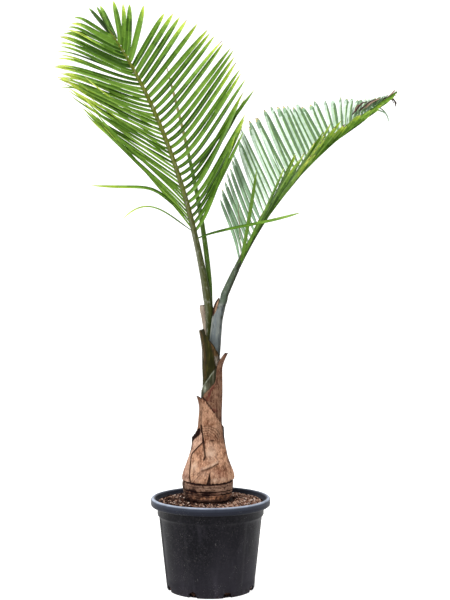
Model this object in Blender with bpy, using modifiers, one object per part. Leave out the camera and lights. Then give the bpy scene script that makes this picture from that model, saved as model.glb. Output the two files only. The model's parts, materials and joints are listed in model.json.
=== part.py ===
# A young bottle palm in a round nursery pot: pot, soil, swollen trunk, wrapped leaf sheaths, two petioles,
# two feather fronds, an unopened spear leaf and a cut leaf stub. Metres, +Z up, origin at the middle of the
# pot's underside. The trunk stands on the pot's axis, +X is to the right of the usual view and -Y is its front.

import math

import bmesh
import bpy
import numpy as np

GAP = 0.0003                      # clearance kept between two pieces that touch
WELD = 0.00001                    # points nearer than this are one

# Pot
POT_HEIGHT = 0.258
POT_STEPS = 40
WALL = 0.0028
WALL_FOOT_RADIUS = 0.1245
WALL_TOP_RADIUS = 0.1470
COLLAR_RADIUS = 0.1515
COLLAR_LEDGE_Z = 0.209
COLLAR_SLOPE = 0.0025             # height of the ledge's slant
LIP_RADIUS = 0.170
LIP_HEIGHT = 0.023
LIP_WIDTH = 0.0125
LIP_ROUND = 0.0055
LIP_BENDS = 6                     # faces over the rounded top of the lip
LIP_CHAMFER = 0.003
FOOT_CHAMFER = 0.005
DRAIN_COUNT = 8
DRAIN_FIRST = math.radians(22.5)
DRAIN_SIZE = (0.016, 0.020, 0.014)   # along the radius, along the rim, upwards

# Soil, as (radius, height) from the middle out to the wall; the trunk stands on its flat middle
SOIL_TOP_Z = 0.2500
SOIL_EDGE_Z = 0.2430
SOIL_SURFACE = ((0.0, SOIL_TOP_Z), (0.064, SOIL_TOP_Z), (0.095, 0.2480), (0.125, 0.2450))

# Trunk: foot with stepped ring scars, then the stem inside the sheaths, as (height above the soil, radius)
TRUNK_STEPS = 24
TRUNK_TOP_Z = 0.620
TRUNK_TOP_RADIUS = 0.0180
TRUNK_PROFILE = (
    (0.0000, 0.0600), (0.0040, 0.0648), (0.0170, 0.0655), (0.0185, 0.0672), (0.0300, 0.0680),
    (0.0315, 0.0694), (0.0440, 0.0700), (0.0455, 0.0707), (0.0570, 0.0705), (0.0640, 0.0660),
    (0.0850, 0.0570), (0.1150, 0.0460), (0.1500, 0.0350), (0.1900, 0.0255), (0.2500, 0.0215),
    (0.3300, 0.0195),
)

# The column leans a little: its centre, as (height, x)
COLUMN_LEAN = ((0.2503, -0.0062), (0.3630, -0.0062), (0.4000, -0.0055), (0.4300, -0.0035), (0.4600, -0.0005),
               (0.5000, 0.0005), (0.5600, 0.0025), (0.6200, 0.0030), (0.6700, 0.0020), (0.7400, 0.0010))

# Sheaths, from the outside in: outer radius as (height, radius)
SHEATH_STEPS = 24
SHEATH_ROW = 0.022                # height of a row of faces
SHEATH_WALL = 0.0020
HEM_Z = 0.3070
HEM_WAVE = (0.0012, 5.0)          # height and number of the waves round the hem
LOWER_SHEATH = ((HEM_Z, 0.0732), (0.3180, 0.0735), (0.3340, 0.0695), (0.3630, 0.0592), (0.4000, 0.0480),
                (0.4300, 0.0405), (0.4600, 0.0362), (0.5000, 0.0341), (0.5600, 0.0338))
UPPER_SHEATH = ((0.4300, 0.0345), (0.4600, 0.0334), (0.5000, 0.0316), (0.6700, 0.0306))
GREEN_SHEATH = ((0.4600, 0.0302), (0.5000, 0.0289), (0.6700, 0.0280))
OLD_SHEATH = ((0.5000, 0.0262), (0.7400, 0.0252))

# Rims: slanted ones as (middle height, half the slant, degrees to the high side), those that climb to a leaf as
# (lowest height, climb, spread in degrees, degrees to the leaf, the cut stub's extra height, its half width)
LOWER_RIM = (0.502, 0.045, 195.0)
GREEN_RIM = (0.600, 0.040, -20.0)
UPPER_RIM = (0.525, 0.110, 62.0, -22.5, 0.034, 11.0)
OLD_RIM = (0.612, 0.112, 70.0, 212.0, 0.012, 18.0)

# Flares lean a rim outwards: (from this height, over this height, by this much)
LOWER_FLARE = (0.508, 0.037, 0.0095)
LOWER_FLARE_SPREAD = 30.0
UPPER_FLARE = (0.622, 0.047, 0.0180)
OLD_FLARE = (0.672, 0.063, 0.0100)
OLD_BULGE = (0.595, 0.030, 0.0018)

# The torn flap left of the lower sheath
FLAP_RANGE = (150.0, 238.0)
FLAP_STEPS = 9
FLAP_MIDDLE = 183.0
FLAP_FOOT_Z = 0.3090
FLAP_RIM = (0.4330, 0.0200, 40.0)    # height, drop at the spread in degrees
FLAP_FLARE = (0.395, 0.038, 0.0090)
FLAP_FLARE_SPREAD = 26.0

# Axes of the limbs: the four points of a cubic curve each
LEFT_AXIS = ((-0.0033, 0.0000, 0.7857), (-0.0437, 0.0000, 1.0608), (-0.1319, 0.0600, 1.3711),
             (-0.3065, 0.1400, 1.6268))
RIGHT_AXIS = ((0.0196, 0.0000, 0.7857), (0.1404, 0.0000, 1.0870), (0.2639, -0.0300, 1.2211),
              (0.5193, -0.0800, 1.3984))
SPEAR_AXIS = ((-0.0007, 0.0180, 0.8200), (-0.0139, 0.0250, 1.0513), (-0.0729, 0.1500, 1.2895),
              (-0.1393, 0.2300, 1.5400))
LEFT_LEAFY_FROM = 0.222           # share of the axis that is bare petiole
RIGHT_LEAFY_FROM = 0.165
RIGHT_AXIS_FROM = 0.066           # where the right petiole's foot meets its axis

# Feet of the limbs inside the crown, and the cut stub, as (x, y, z, radius)
RIGHT_FOOT = ((0.0050, -0.0030, 0.6203, 0.0160), (0.0050, -0.0030, 0.6260, 0.0160),
              (0.0085, -0.0035, 0.6480, 0.0165), (0.0115, -0.0040, 0.6800, 0.0168),
              (0.0145, -0.0040, 0.7200, 0.0165), (0.0170, -0.0038, 0.7450, 0.0160),
              (0.0195, -0.0033, 0.7680, 0.0158), (0.0245, -0.0022, 0.7880, 0.0152),
              (0.0300, -0.0012, 0.8060, 0.0137), (0.0370, -0.0003, 0.8200, 0.0112))
LEFT_FOOT = ((-0.0045, 0.0040, 0.7000, 0.0052), (-0.0055, 0.0030, 0.7350, 0.0065),
             (-0.0050, 0.0015, 0.7600, 0.0092))
SPEAR_FOOT = ((0.0050, 0.0112, 0.7000, 0.0032), (0.0030, 0.0135, 0.7600, 0.0042))
CUT_STUB = ((-0.0100, 0.0135, 0.7000, 0.0055), (-0.0133, 0.0138, 0.7350, 0.0066),
            (-0.0185, 0.0155, 0.7750, 0.0078), (-0.0222, 0.0160, 0.7980, 0.0080),
            (-0.0230, 0.0160, 0.8040, 0.0066))

# Radii along the axes: the shares, then the radius at each
RACHIS = ((0.10, 0.17, 0.50, 0.80, 1.00), (0.0100, 0.0088, 0.0060, 0.0036, 0.0020))
LEFT_PETIOLE = ((0.0, 0.045, 0.10, LEFT_LEAFY_FROM), (0.0112, 0.0118, 0.0100, 0.0088))
RIGHT_PETIOLE = ((0.0, 0.07, 0.11, RIGHT_LEAFY_FROM), (0.0112, 0.0100, 0.0094, 0.0088))
SPEAR = ((0.0, 0.06, 0.20, 0.55, 1.0), (0.0050, 0.0062, 0.0060, 0.0036, 0.0012))
RACHIS_STEPS = 22
SPEAR_STEPS = 16
PETIOLE_STEPS = 8
STOUT = 4                         # bevel resolution of a petiole or stub
SLIM = 2                          # bevel resolution of a rachis or the spear
GROOVE = 2.0 * GAP                # how much larger a groove in the right petiole's foot is than what lies in it
GROOVE_POINTS = 6

# Leaflets: values along the leafy part of a frond, from its lowest pair to its tip
SHARES = (0.0, 0.12, 0.30, 0.50, 0.70, 0.85, 0.94, 1.0)
LEAFLET_STATIONS = (0.0, 0.12, 0.30, 0.52, 0.76, 1.0)
LEAFLET_SHAPE = (0.50, 0.86, 1.00, 0.92, 0.60, 0.0)
LEAFLET_WIDTH = 0.0165
NARROW_UNDER = 0.12               # leaflets shorter than this are narrower too
LEAFLET_FOLD = 0.0030             # depth of the fold along a leaflet's midrib
LEAFLET_THICKNESS = 0.0036        # a hundredth of the longest leaflet
FLAT_UNDER = 0.3                  # share of the width under which fold and thickness fade
ROOT_DEPTH = 0.75                 # share of the rachis radius at which a leaflet starts
PATH_STEPS = 30
BUNDLE_SPREAD = 9.0               # degrees between the first and last leaflet of a bundle
BUNDLE_STEP = 2.0                 # degrees of lift between neighbours in a bundle
LEFT_FACE = (0.25, -0.85, 0.45)   # the way the upper side of the left frond faces
RIGHT_FACE = (-0.60, -0.42, 0.68)

# Each row: side, count, first and last place on the axis, angle from the axis at the base and further out, curl of
# the tip, lift out of the frond's plane, all in degrees, the share of the leaflet over which it bends, and lengths
LEFT_ROWS = (
    {"side": 1, "count": 27, "missing": (0,), "span": (0.235, 0.935), "bend": 0.16,
     "base": (51, 70, 86, 82, 68, 55, 44, 46), "run": (36, 42, 48, 56, 60, 55, 28, 21),
     "lift": (20, 20, 20, 20, 20, 20, 15, 10),
     "length": (0.293, 0.317, 0.341, 0.332, 0.278, 0.217, 0.174, 0.158)},
    {"side": -1, "count": 31, "span": (0.262, 0.962), "bend": 0.16, "bundles": (6, 6, 5, 4, 4, 3, 2, 1),
     "base": (25, 36, 57, 76, 84, 82, 71, 53), "run": (39, 46, 54, 60.5, 68, 53, 46, 39),
     "curl": (0, -12, -20, -9, 20, 33, 52, 60), "lift": (20,) * 8,
     "length": (0.385, 0.370, 0.325, 0.324, 0.289, 0.232, 0.169, 0.138)},
    {"side": 1, "count": 2, "span": (0.958, 0.980), "bend": 0.16, "base": (8,) * 8,
     "run": (9, 9, 9, 9, 4, 4, 4, 4), "lift": (8,) * 8,
     "length": (0.128, 0.128, 0.128, 0.124, 0.118, 0.114, 0.112, 0.110)},
    {"side": -1, "count": 1, "span": (0.970, 0.970), "bend": 0.16, "base": (8,) * 8,
     "run": (5,) * 8, "lift": (8,) * 8, "length": (0.122,) * 8},
)
RIGHT_ROWS = (
    {"side": -1, "count": 27, "crowd": 1.3, "span": (0.197, 0.965), "bend": 0.30,
     "base": (42, 65, 70, 79, 77, 62, 40, 20), "run": (61, 59, 66, 73, 80, 46, 32, 20), "lift": (20,) * 8,
     "length": (0.238, 0.241, 0.326, 0.305, 0.174, 0.066, 0.046, 0.035)},
    {"side": 1, "count": 20, "missing": (1,), "span": (0.200, 0.960), "bend": 0.16, "base": (36,) * 8,
     "run": (46, 50, 54, 54, 50, 44, 32, 18), "lift": (44, 25, 25, 28, 20, 17, 13, 10),
     "length": (0.325, 0.330, 0.280, 0.234, 0.163, 0.100, 0.060, 0.035)},
)

# Leaflets that hang off on their own: where each leaves the left rachis, then the rest of its cubic curve
STRAY_LEAFLETS = (
    (0.232, (0.0452, -0.0814, 1.0258), (0.1334, -0.1705, 1.0191), (0.2420, -0.2000, 1.0530)),
    (0.282, (-0.1806, -0.0300, 1.1724), (-0.1517, -0.0500, 1.1263), (-0.3329, -0.0700, 1.1395)),
    (0.254, (-0.1194, -0.0500, 1.0583), (-0.1705, -0.0800, 1.1232), (-0.2435, -0.1000, 1.0410)),
)
STRAY_WIDTH = 0.0085
STRAY_FACE = (0.0, -0.6, 0.8)     # the way their upper sides face
TOUCH = 0.009                     # leaflets of two limbs nearer than this would touch


def clear_scene():
    for obj in list(bpy.data.objects):
        bpy.data.objects.remove(obj, do_unlink=True)


def new_collection(name):
    group = bpy.data.collections.new(name)
    bpy.context.scene.collection.children.link(group)
    return group


def remove_objects(group):
    for obj in list(group.objects):
        bpy.data.objects.remove(obj, do_unlink=True)


def material(name, colour, roughness):
    mat = bpy.data.materials.new(name)
    mat.use_nodes = True
    shader = mat.node_tree.nodes["Principled BSDF"]
    shader.inputs["Base Color"].default_value = (*colour, 1.0)
    shader.inputs["Roughness"].default_value = roughness
    shader.inputs["Metallic"].default_value = 0.0
    return mat


def set_material(mesh, mat):
    mesh.materials.clear()
    mesh.materials.append(mat)


def add_object(name, mesh, group, mat=None):
    obj = bpy.data.objects.new(name, mesh)
    group.objects.link(obj)
    if mat is not None:
        set_material(mesh, mat)
    return obj


def smooth(mesh, sharp_over):
    mesh.shade_smooth()
    mesh.set_sharp_from_angle(angle=math.radians(sharp_over))


def mesh_from(points, faces, name):
    mesh = bpy.data.meshes.new(name)
    mesh.from_pydata([tuple(map(float, point)) for point in points], [], faces)
    mesh.update()
    return mesh


def evaluated_mesh(obj):
    graph = bpy.context.evaluated_depsgraph_get()
    return bpy.data.meshes.new_from_object(obj.evaluated_get(graph), depsgraph=graph)


# Swaps an object's mesh for what its modifiers make of it
def apply_modifiers(obj):
    mesh = evaluated_mesh(obj)
    mesh.name = obj.name
    obj.modifiers.clear()
    obj.data = mesh
    return obj


# Leaves the outer shell alone: loose scraps and sealed hollows are dropped
def keep_largest_body(mesh):
    bm = bmesh.new()
    bm.from_mesh(mesh)
    seen, bodies = set(), []
    for start in bm.verts:
        if start in seen:
            continue
        body, waiting = [], [start]
        seen.add(start)
        while waiting:
            vert = waiting.pop()
            body.append(vert)
            for edge in vert.link_edges:
                other = edge.other_vert(vert)
                if other not in seen:
                    seen.add(other)
                    waiting.append(other)
        bodies.append(body)
    bodies.sort(key=len)
    scraps = [vert for body in bodies[:-1] for vert in body]
    bmesh.ops.delete(bm, geom=scraps, context="VERTS")
    bm.to_mesh(mesh)
    bm.free()


# Cuts a collection of other pieces out of an object, or fuses them to it
def combine(target, others, operation):
    tool = target.modifiers.new("combine", "BOOLEAN")
    tool.operation = operation
    tool.operand_type = "COLLECTION"
    tool.collection = others
    tool.solver = "EXACT"
    apply_modifiers(target)
    keep_largest_body(target.data)
    return target


# Turns a profile of (radius, height) points about Z; both its ends lie on the axis
def turned(name, profile, steps, group, mat):
    mesh = mesh_from([(radius, 0.0, z) for radius, z in profile], [], name)
    mesh.edges.add(len(profile) - 1)
    for k, edge in enumerate(mesh.edges):
        edge.vertices = (k, k + 1)
    obj = add_object(name, mesh, group, mat)
    screw = obj.modifiers.new("turn", "SCREW")
    screw.steps = screw.render_steps = steps
    screw.use_merge_vertices = True
    screw.merge_threshold = 0.0001
    screw.use_smooth_shade = True
    return apply_modifiers(obj)


# A tapering limb: a curve with a bevel and a radius at each point, made a closed mesh
def limb(name, points, radii, group, mat=None, resolution=STOUT):
    depth = max(radii)
    data = bpy.data.curves.new(name, "CURVE")
    data.dimensions = "3D"
    data.bevel_depth = depth
    data.bevel_resolution = resolution
    data.use_fill_caps = True
    spline = data.splines.new("POLY")
    spline.points.add(len(points) - 1)
    for knot, place, radius in zip(spline.points, points, radii):
        knot.co = (*map(float, place), 1.0)
        knot.radius = float(radius) / depth
    curve = bpy.data.objects.new(name + "_path", data)
    group.objects.link(curve)
    mesh = evaluated_mesh(curve)
    mesh.name = name
    bm = bmesh.new()
    bm.from_mesh(mesh)
    bmesh.ops.remove_doubles(bm, verts=bm.verts, dist=WELD)
    bmesh.ops.recalc_face_normals(bm, faces=bm.faces)
    bm.to_mesh(mesh)
    bm.free()
    obj = add_object(name, mesh, group, mat)
    obj.matrix_world = curve.matrix_world.copy()
    bpy.data.objects.remove(curve, do_unlink=True)
    smooth(mesh, 40.0)
    return obj


def unit(vectors):
    return vectors / np.linalg.norm(vectors, axis=-1, keepdims=True)


# Points of a cubic curve through its two end points, drawn towards the two inner ones
def cubic(control, t):
    c = np.asarray(control, float)
    t = np.asarray(t, float)[:, None]
    return (1 - t) ** 3 * c[0] + 3 * (1 - t) ** 2 * t * c[1] + 3 * (1 - t) * t ** 2 * c[2] + t ** 3 * c[3]


# Points and directions at shares of a curve's own length
def along(control, shares):
    t = np.linspace(0.0, 1.0, 400)
    step = t[1]
    hops = np.linalg.norm(np.diff(cubic(control, t), axis=0), axis=1)
    run = np.concatenate(([0.0], np.cumsum(hops)))
    at = np.interp(np.asarray(shares, float) * run[-1], run, t)
    ahead = cubic(control, np.clip(at + step, 0.0, 1.0)) - cubic(control, np.clip(at - step, 0.0, 1.0))
    return cubic(control, at), unit(ahead), run[-1]


# Place of each leaflet within its bundle: from 0 to 1, and counted from the middle
def bundle_places(row):
    if "bundles" not in row:
        return np.full(row["count"], 0.5), np.zeros(row["count"])
    ranks = [np.arange(size) - (size - 1) / 2.0 for size in row["bundles"]]
    places = [rank / max(1, len(rank) - 1) + 0.5 for rank in ranks]
    return np.concatenate(places), np.concatenate(ranks)


# Centre lines of a row: a leaflet leaves the axis at one angle, soon bends to another and may curl at its tip
def leaflet_paths(control, face, row):
    leafy = 1.0 - (1.0 - np.linspace(0.0, 1.0, row["count"])) ** row.get("crowd", 1.0)
    shares = row["span"][0] + (row["span"][1] - row["span"][0]) * leafy
    point, ahead, _ = along(control, shares)
    face = np.asarray(face, float)
    upper = unit(face - np.sum(face * ahead, axis=-1, keepdims=True) * ahead)
    right = np.cross(ahead, upper)
    still = (0.0,) * len(SHARES)
    base, run, curl, lift, length = (np.interp(leafy, SHARES, row.get(key, still))[:, None]
                                     for key in ("base", "run", "curl", "lift", "length"))
    place, rank = bundle_places(row)
    base = np.radians(base)
    run = np.radians(run + BUNDLE_SPREAD * (place[:, None] - 0.5))
    lift = np.radians(lift + BUNDLE_STEP * rank[:, None])
    middle = (np.arange(PATH_STEPS)[None, :] + 0.5) / PATH_STEPS
    angle = run - (run - base) * np.exp(-middle / row["bend"])
    angle = angle + np.radians(curl) * np.clip((middle - 0.55) / 0.45, 0.0, 1.0) ** 2
    out = np.cos(lift)[..., None] * row["side"] * right[:, None] + np.sin(lift)[..., None] * upper[:, None]
    heading = np.cos(angle)[..., None] * ahead[:, None] + np.sin(angle)[..., None] * out
    start = point + ROOT_DEPTH * row["side"] * np.interp(shares, *RACHIS)[:, None] * right
    steps = np.cumsum(heading * length[..., None] / PATH_STEPS, axis=1)
    path = np.concatenate((start[:, None], start[:, None] + steps), axis=1)
    return path, upper, length[:, 0]


# Centre lines of the leaflets that hang off on their own, from the middle of the left rachis
def stray_paths():
    starts = along(LEFT_AXIS, [row[0] for row in STRAY_LEAFLETS])[0]
    t = np.linspace(0.0, 1.0, PATH_STEPS + 1)
    return [cubic((tuple(start), *row[1:]), t) for start, row in zip(starts, STRAY_LEAFLETS)]


def nearest(path, other):
    return float(np.min(np.linalg.norm(path[:, None] - other[None], axis=-1)))


# A folded blade along a centre line: four corners at each station, closing to a point at the tip
def leaflet_mesh(path, upper, width, name):
    at = np.linspace(0.0, 1.0, len(path))
    centre = np.stack([np.interp(LEAFLET_STATIONS, at, path[:, k]) for k in range(3)], axis=1)
    ahead = unit(np.gradient(centre, axis=0))
    normal = unit(upper - np.sum(upper * ahead, axis=1, keepdims=True) * ahead)
    across = np.cross(ahead, normal)
    half = 0.5 * width * np.array(LEAFLET_SHAPE)[:, None]
    fade = np.clip(half / (FLAT_UNDER * width), 0.0, 1.0)
    raised = LEAFLET_FOLD * fade * normal
    below = LEAFLET_THICKNESS * fade * normal
    side = half * across
    rings = np.stack((centre + side + raised, centre, centre - side + raised, centre - below), axis=1)
    points = list(rings[:-1].reshape(-1, 3)) + [centre[-1]]
    tip = len(points) - 1
    faces = [(0, 1, 3), (1, 2, 3)]
    for first in range(0, tip - 4, 4):
        faces += [(first + k, first + (k + 1) % 4, first + (k + 1) % 4 + 4, first + k + 4) for k in range(4)]
    faces += [(tip - 4 + k, tip - 4 + (k + 1) % 4, tip) for k in range(4)]
    mesh = mesh_from(points, faces, name)
    bm = bmesh.new()
    bm.from_mesh(mesh)
    bmesh.ops.triangulate(bm, faces=bm.faces)
    bmesh.ops.recalc_face_normals(bm, faces=bm.faces)
    bm.to_mesh(mesh)
    bm.free()
    return mesh


# A rachis with its leaflets fused on; a leaflet that would touch the path to keep clear of is left out
def frond(name, control, face, rows, leafy_from, strays, group, mat, keep_clear=None):
    shares = np.linspace(leafy_from, 1.0, RACHIS_STEPS)
    shares[0] += GAP / along(control, shares)[2]
    rachis = limb(name, along(control, shares)[0], np.interp(shares, *RACHIS), group, mat, SLIM)
    blades = new_collection(name + "_blades")
    for row in rows:
        paths, upper, lengths = leaflet_paths(control, face, row)
        for k, path in enumerate(paths):
            touching = keep_clear is not None and nearest(path, keep_clear) < TOUCH
            if touching or k in row.get("missing", ()):
                continue
            width = LEAFLET_WIDTH * min(1.0, lengths[k] / NARROW_UNDER)
            add_object(name + "_blade", leaflet_mesh(path, upper[k], width, name), blades)
    stray_upper = np.broadcast_to(STRAY_FACE, (len(LEAFLET_STATIONS), 3))
    for path in strays:
        add_object(name + "_blade", leaflet_mesh(path, stray_upper, STRAY_WIDTH, name), blades)
    combine(rachis, blades, "UNION")
    remove_objects(blades)
    bpy.data.collections.remove(blades)
    set_material(rachis.data, mat)


def build_pot(group, cutters):
    lip_in = LIP_RADIUS - LIP_WIDTH
    lip_low = POT_HEIGHT - LIP_HEIGHT
    lip_middle = LIP_RADIUS - LIP_WIDTH / 2
    bend = [math.pi * k / LIP_BENDS for k in range(LIP_BENDS + 1)]
    foot_in = WALL_FOOT_RADIUS - WALL
    profile = [(0.0, WALL), (foot_in - FOOT_CHAMFER, WALL), (foot_in, WALL + FOOT_CHAMFER),
               (WALL_TOP_RADIUS - WALL, COLLAR_LEDGE_Z), (COLLAR_RADIUS - WALL, COLLAR_LEDGE_Z + 2 * COLLAR_SLOPE),
               (COLLAR_RADIUS - WALL, lip_low + WALL), (lip_in, lip_low + LIP_HEIGHT / 2)]
    profile += [(lip_middle - math.cos(turn) * LIP_WIDTH / 2, POT_HEIGHT - (1.0 - math.sin(turn)) * LIP_ROUND)
                for turn in bend]
    profile += [(LIP_RADIUS, lip_low + LIP_CHAMFER), (LIP_RADIUS - LIP_CHAMFER, lip_low), (COLLAR_RADIUS, lip_low),
                (COLLAR_RADIUS, COLLAR_LEDGE_Z + COLLAR_SLOPE), (WALL_TOP_RADIUS, COLLAR_LEDGE_Z - COLLAR_SLOPE),
                (WALL_FOOT_RADIUS, FOOT_CHAMFER / 2), (WALL_FOOT_RADIUS - FOOT_CHAMFER / 2, 0.0), (0.0, 0.0)]
    pot = turned("pot", profile, POT_STEPS, group, material("pot_black", (0.030, 0.032, 0.036), 0.55))
    for k in range(DRAIN_COUNT):
        turn = DRAIN_FIRST + 2.0 * math.pi * k / DRAIN_COUNT
        place = (WALL_FOOT_RADIUS * math.cos(turn), WALL_FOOT_RADIUS * math.sin(turn), 0.0)
        bpy.ops.mesh.primitive_cube_add(size=1.0, location=place, rotation=(0.0, 0.0, turn))
        notch = bpy.context.object
        notch.name = f"drain_cutter_{k}"
        notch.scale = DRAIN_SIZE
        notch.hide_render = True
        notch.display_type = "WIRE"
        for owner in list(notch.users_collection):
            owner.objects.unlink(notch)
        cutters.objects.link(notch)
    bpy.context.view_layer.update()
    combine(pot, cutters, "DIFFERENCE")
    remove_objects(cutters)
    smooth(pot.data, 40.0)


def build_soil(group):
    shell = WALL + GAP
    foot_in = WALL_FOOT_RADIUS - shell
    collar_in = COLLAR_RADIUS - shell
    lip_low = POT_HEIGHT - LIP_HEIGHT
    slant = (LIP_RADIUS - LIP_WIDTH - COLLAR_RADIUS + WALL) / (LIP_HEIGHT / 2 - WALL)
    edge = collar_in + slant * (SOIL_EDGE_Z - lip_low - WALL) - GAP
    profile = [*SOIL_SURFACE, (edge, SOIL_EDGE_Z), (collar_in, lip_low + WALL),
               (collar_in, COLLAR_LEDGE_Z + 2 * COLLAR_SLOPE), (WALL_TOP_RADIUS - shell, COLLAR_LEDGE_Z),
               (foot_in, shell + FOOT_CHAMFER),
               (foot_in - FOOT_CHAMFER, shell), (0.0, shell)]
    turned("soil", profile, POT_STEPS, group, material("potting_mix", (0.070, 0.040, 0.028), 0.95))


def at_height(table, z):
    return float(np.interp(z, [row[0] for row in table], [row[1] for row in table]))


def build_trunk(group):
    base = SOIL_TOP_Z + GAP
    profile = [(0.0, TRUNK_TOP_Z), (TRUNK_TOP_RADIUS, TRUNK_TOP_Z)]
    profile += [(radius, base + height) for height, radius in reversed(TRUNK_PROFILE)]
    profile += [(0.0, base)]
    trunk = turned("trunk", profile, TRUNK_STEPS, group, material("ringed_bark", (0.180, 0.105, 0.060), 0.85))
    for vert in trunk.data.vertices:
        vert.co.x += at_height(COLUMN_LEAN, vert.co.z)
    smooth(trunk.data, 25.0)


# Signed difference of two angles in degrees
def turn_from(angle, middle):
    return (angle - middle + 180.0) % 360.0 - 180.0


# A bell curve of an angle's distance from the middle one
def bell(angle, middle, spread):
    return math.exp(-(turn_from(angle, middle) / spread) ** 2)


def slanted_rim(angle, rim):
    height, slant, high_side = rim
    return height + slant * math.cos(math.radians(angle - high_side))


def climbing_rim(angle, rim):
    height, climb, spread, leaf_side, stub, half_width = rim
    on_stub = abs(turn_from(angle, leaf_side)) < half_width
    return height + climb * bell(angle, leaf_side, spread) + stub * on_stub


def flare(z, spec):
    start, height, reach = spec
    return reach * max(0.0, (z - start) / height) ** 1.5


# A wall wrapped round the column between two edges, which give a height for each angle
def sheath(name, table, low, high, group, mat, swell, angles, closed):
    count = len(angles)
    rows = round((max(map(high, angles)) - min(map(low, angles))) / SHEATH_ROW)
    points, faces = [], []
    for row in range(rows + 1):
        for angle in angles:
            z = low(angle) + (high(angle) - low(angle)) * row / rows
            radius = at_height(table, z) + swell(angle, z)
            turn = math.radians(angle)
            points.append((at_height(COLUMN_LEAN, z) + radius * math.cos(turn), radius * math.sin(turn), z))
    for row in range(rows):
        for k in range(count if closed else count - 1):
            a = row * count + k
            b = row * count + (k + 1) % count
            faces.append((a, b, b + count, a + count))
    obj = add_object(name, mesh_from(points, faces, name), group, mat)
    wall = obj.modifiers.new("wall", "SOLIDIFY")
    wall.thickness = SHEATH_WALL
    wall.offset = -1.0
    apply_modifiers(obj)
    smooth(obj.data, 50.0)


def build_sheaths(group):
    whole = [360.0 * k / SHEATH_STEPS for k in range(SHEATH_STEPS)]
    part = [FLAP_RANGE[0] + (FLAP_RANGE[1] - FLAP_RANGE[0]) * k / (FLAP_STEPS - 1) for k in range(FLAP_STEPS)]
    height, waves = HEM_WAVE
    fit = SHEATH_WALL + 2.0 * GAP

    def hem(angle):
        return HEM_Z + height * math.sin(waves * math.radians(angle))

    def lower_swell(angle, z):
        return flare(z, LOWER_FLARE) * bell(angle, LOWER_RIM[2], LOWER_FLARE_SPREAD)

    def old_swell(angle, z):
        left = max(0.0, -math.cos(math.radians(angle)))
        start, over, reach = OLD_BULGE
        return flare(z, OLD_FLARE) + left * reach * min(1.0, max(0.0, (z - start) / over))

    def flap_rim(angle):
        top, drop, spread = FLAP_RIM
        return top - drop * (turn_from(angle, FLAP_MIDDLE) / spread) ** 2

    def flap_swell(angle, z):
        return fit + flare(z, FLAP_FLARE) * bell(angle, FLAP_MIDDLE, FLAP_FLARE_SPREAD)

    def foot_at(z):
        return lambda angle: z

    def slanted(rim):
        return lambda angle: slanted_rim(angle, rim)

    def climbing(rim):
        return lambda angle: climbing_rim(angle, rim)

    sheath("sheath_lower", LOWER_SHEATH, hem, slanted(LOWER_RIM), group,
           material("dry_sheath", (0.330, 0.190, 0.110), 0.80), lower_swell, whole, True)
    sheath("sheath_upper", UPPER_SHEATH, foot_at(UPPER_SHEATH[0][0]), climbing(UPPER_RIM), group,
           material("dry_sheath_upper", (0.300, 0.160, 0.095), 0.80), lambda angle, z: flare(z, UPPER_FLARE),
           whole, True)
    sheath("sheath_green", GREEN_SHEATH, foot_at(GREEN_SHEATH[0][0]), slanted(GREEN_RIM), group,
           material("grey_green_sheath", (0.100, 0.115, 0.075), 0.60), lambda angle, z: 0.0, whole, True)
    sheath("sheath_old", OLD_SHEATH, foot_at(OLD_SHEATH[0][0]), climbing(OLD_RIM), group,
           material("old_olive_sheath", (0.110, 0.100, 0.030), 0.60), old_swell, whole, True)
    sheath("sheath_flap", LOWER_SHEATH, foot_at(FLAP_FOOT_Z), flap_rim, group,
           material("dry_flap", (0.360, 0.220, 0.140), 0.80), flap_swell, part, False)


# Points and radii of a limb: its foot inside the crown, then its axis over a range of shares
def limb_points(foot, control, start, end, table, count):
    shares = np.linspace(start, end, count)
    places = [row[:3] for row in foot] + [tuple(point) for point in along(control, shares)[0]]
    return places, [row[3] for row in foot] + list(np.interp(shares, *table))


# The start of a limb, larger by a margin all round and at its foot
def grown(places, radii, margin):
    first = np.array(places[0])
    ahead = unit(np.array(places[1]) - first)
    places = [tuple(first - margin * ahead), *places[1:GROOVE_POINTS]]
    return places, [radius + margin for radius in radii[:GROOVE_POINTS]]


def build_limbs(group, cutters):
    left = limb_points(LEFT_FOOT, LEFT_AXIS, 0.0, LEFT_LEAFY_FROM, LEFT_PETIOLE, PETIOLE_STEPS)
    right = limb_points(RIGHT_FOOT, RIGHT_AXIS, RIGHT_AXIS_FROM, RIGHT_LEAFY_FROM, RIGHT_PETIOLE, PETIOLE_STEPS)
    spear = limb_points(SPEAR_FOOT, SPEAR_AXIS, 0.0, 1.0, SPEAR, SPEAR_STEPS)
    stub = [row[:3] for row in CUT_STUB], [row[3] for row in CUT_STUB]
    limb("petiole_left", *left, group, material("olive_petiole", (0.130, 0.120, 0.050), 0.50))
    limb("spear", *spear, group, material("spear_green", (0.090, 0.180, 0.030), 0.45), SLIM)
    limb("cut_stub", *stub, group, material("pink_tan_stub", (0.420, 0.290, 0.230), 0.75))
    petiole = limb("petiole_right", *right, group, material("glaucous_sheath", (0.200, 0.235, 0.215), 0.50))
    for name, (places, radii) in (("left", left), ("spear", spear), ("stub", stub)):
        groove = limb("groove_cutter_" + name, *grown(places, radii, GROOVE), cutters)
        groove.hide_render = True
        groove.display_type = "WIRE"
    combine(petiole, cutters, "DIFFERENCE")
    remove_objects(cutters)
    smooth(petiole.data, 40.0)


def build_fronds(group):
    strays = stray_paths()
    frond("frond_left", LEFT_AXIS, LEFT_FACE, LEFT_ROWS, LEFT_LEAFY_FROM, strays, group,
          material("frond_green", (0.075, 0.210, 0.020), 0.45))
    frond("frond_right", RIGHT_AXIS, RIGHT_FACE, RIGHT_ROWS, RIGHT_LEAFY_FROM, (), group,
          material("frond_blue_green", (0.150, 0.260, 0.110), 0.45), keep_clear=strays[0])


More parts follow.
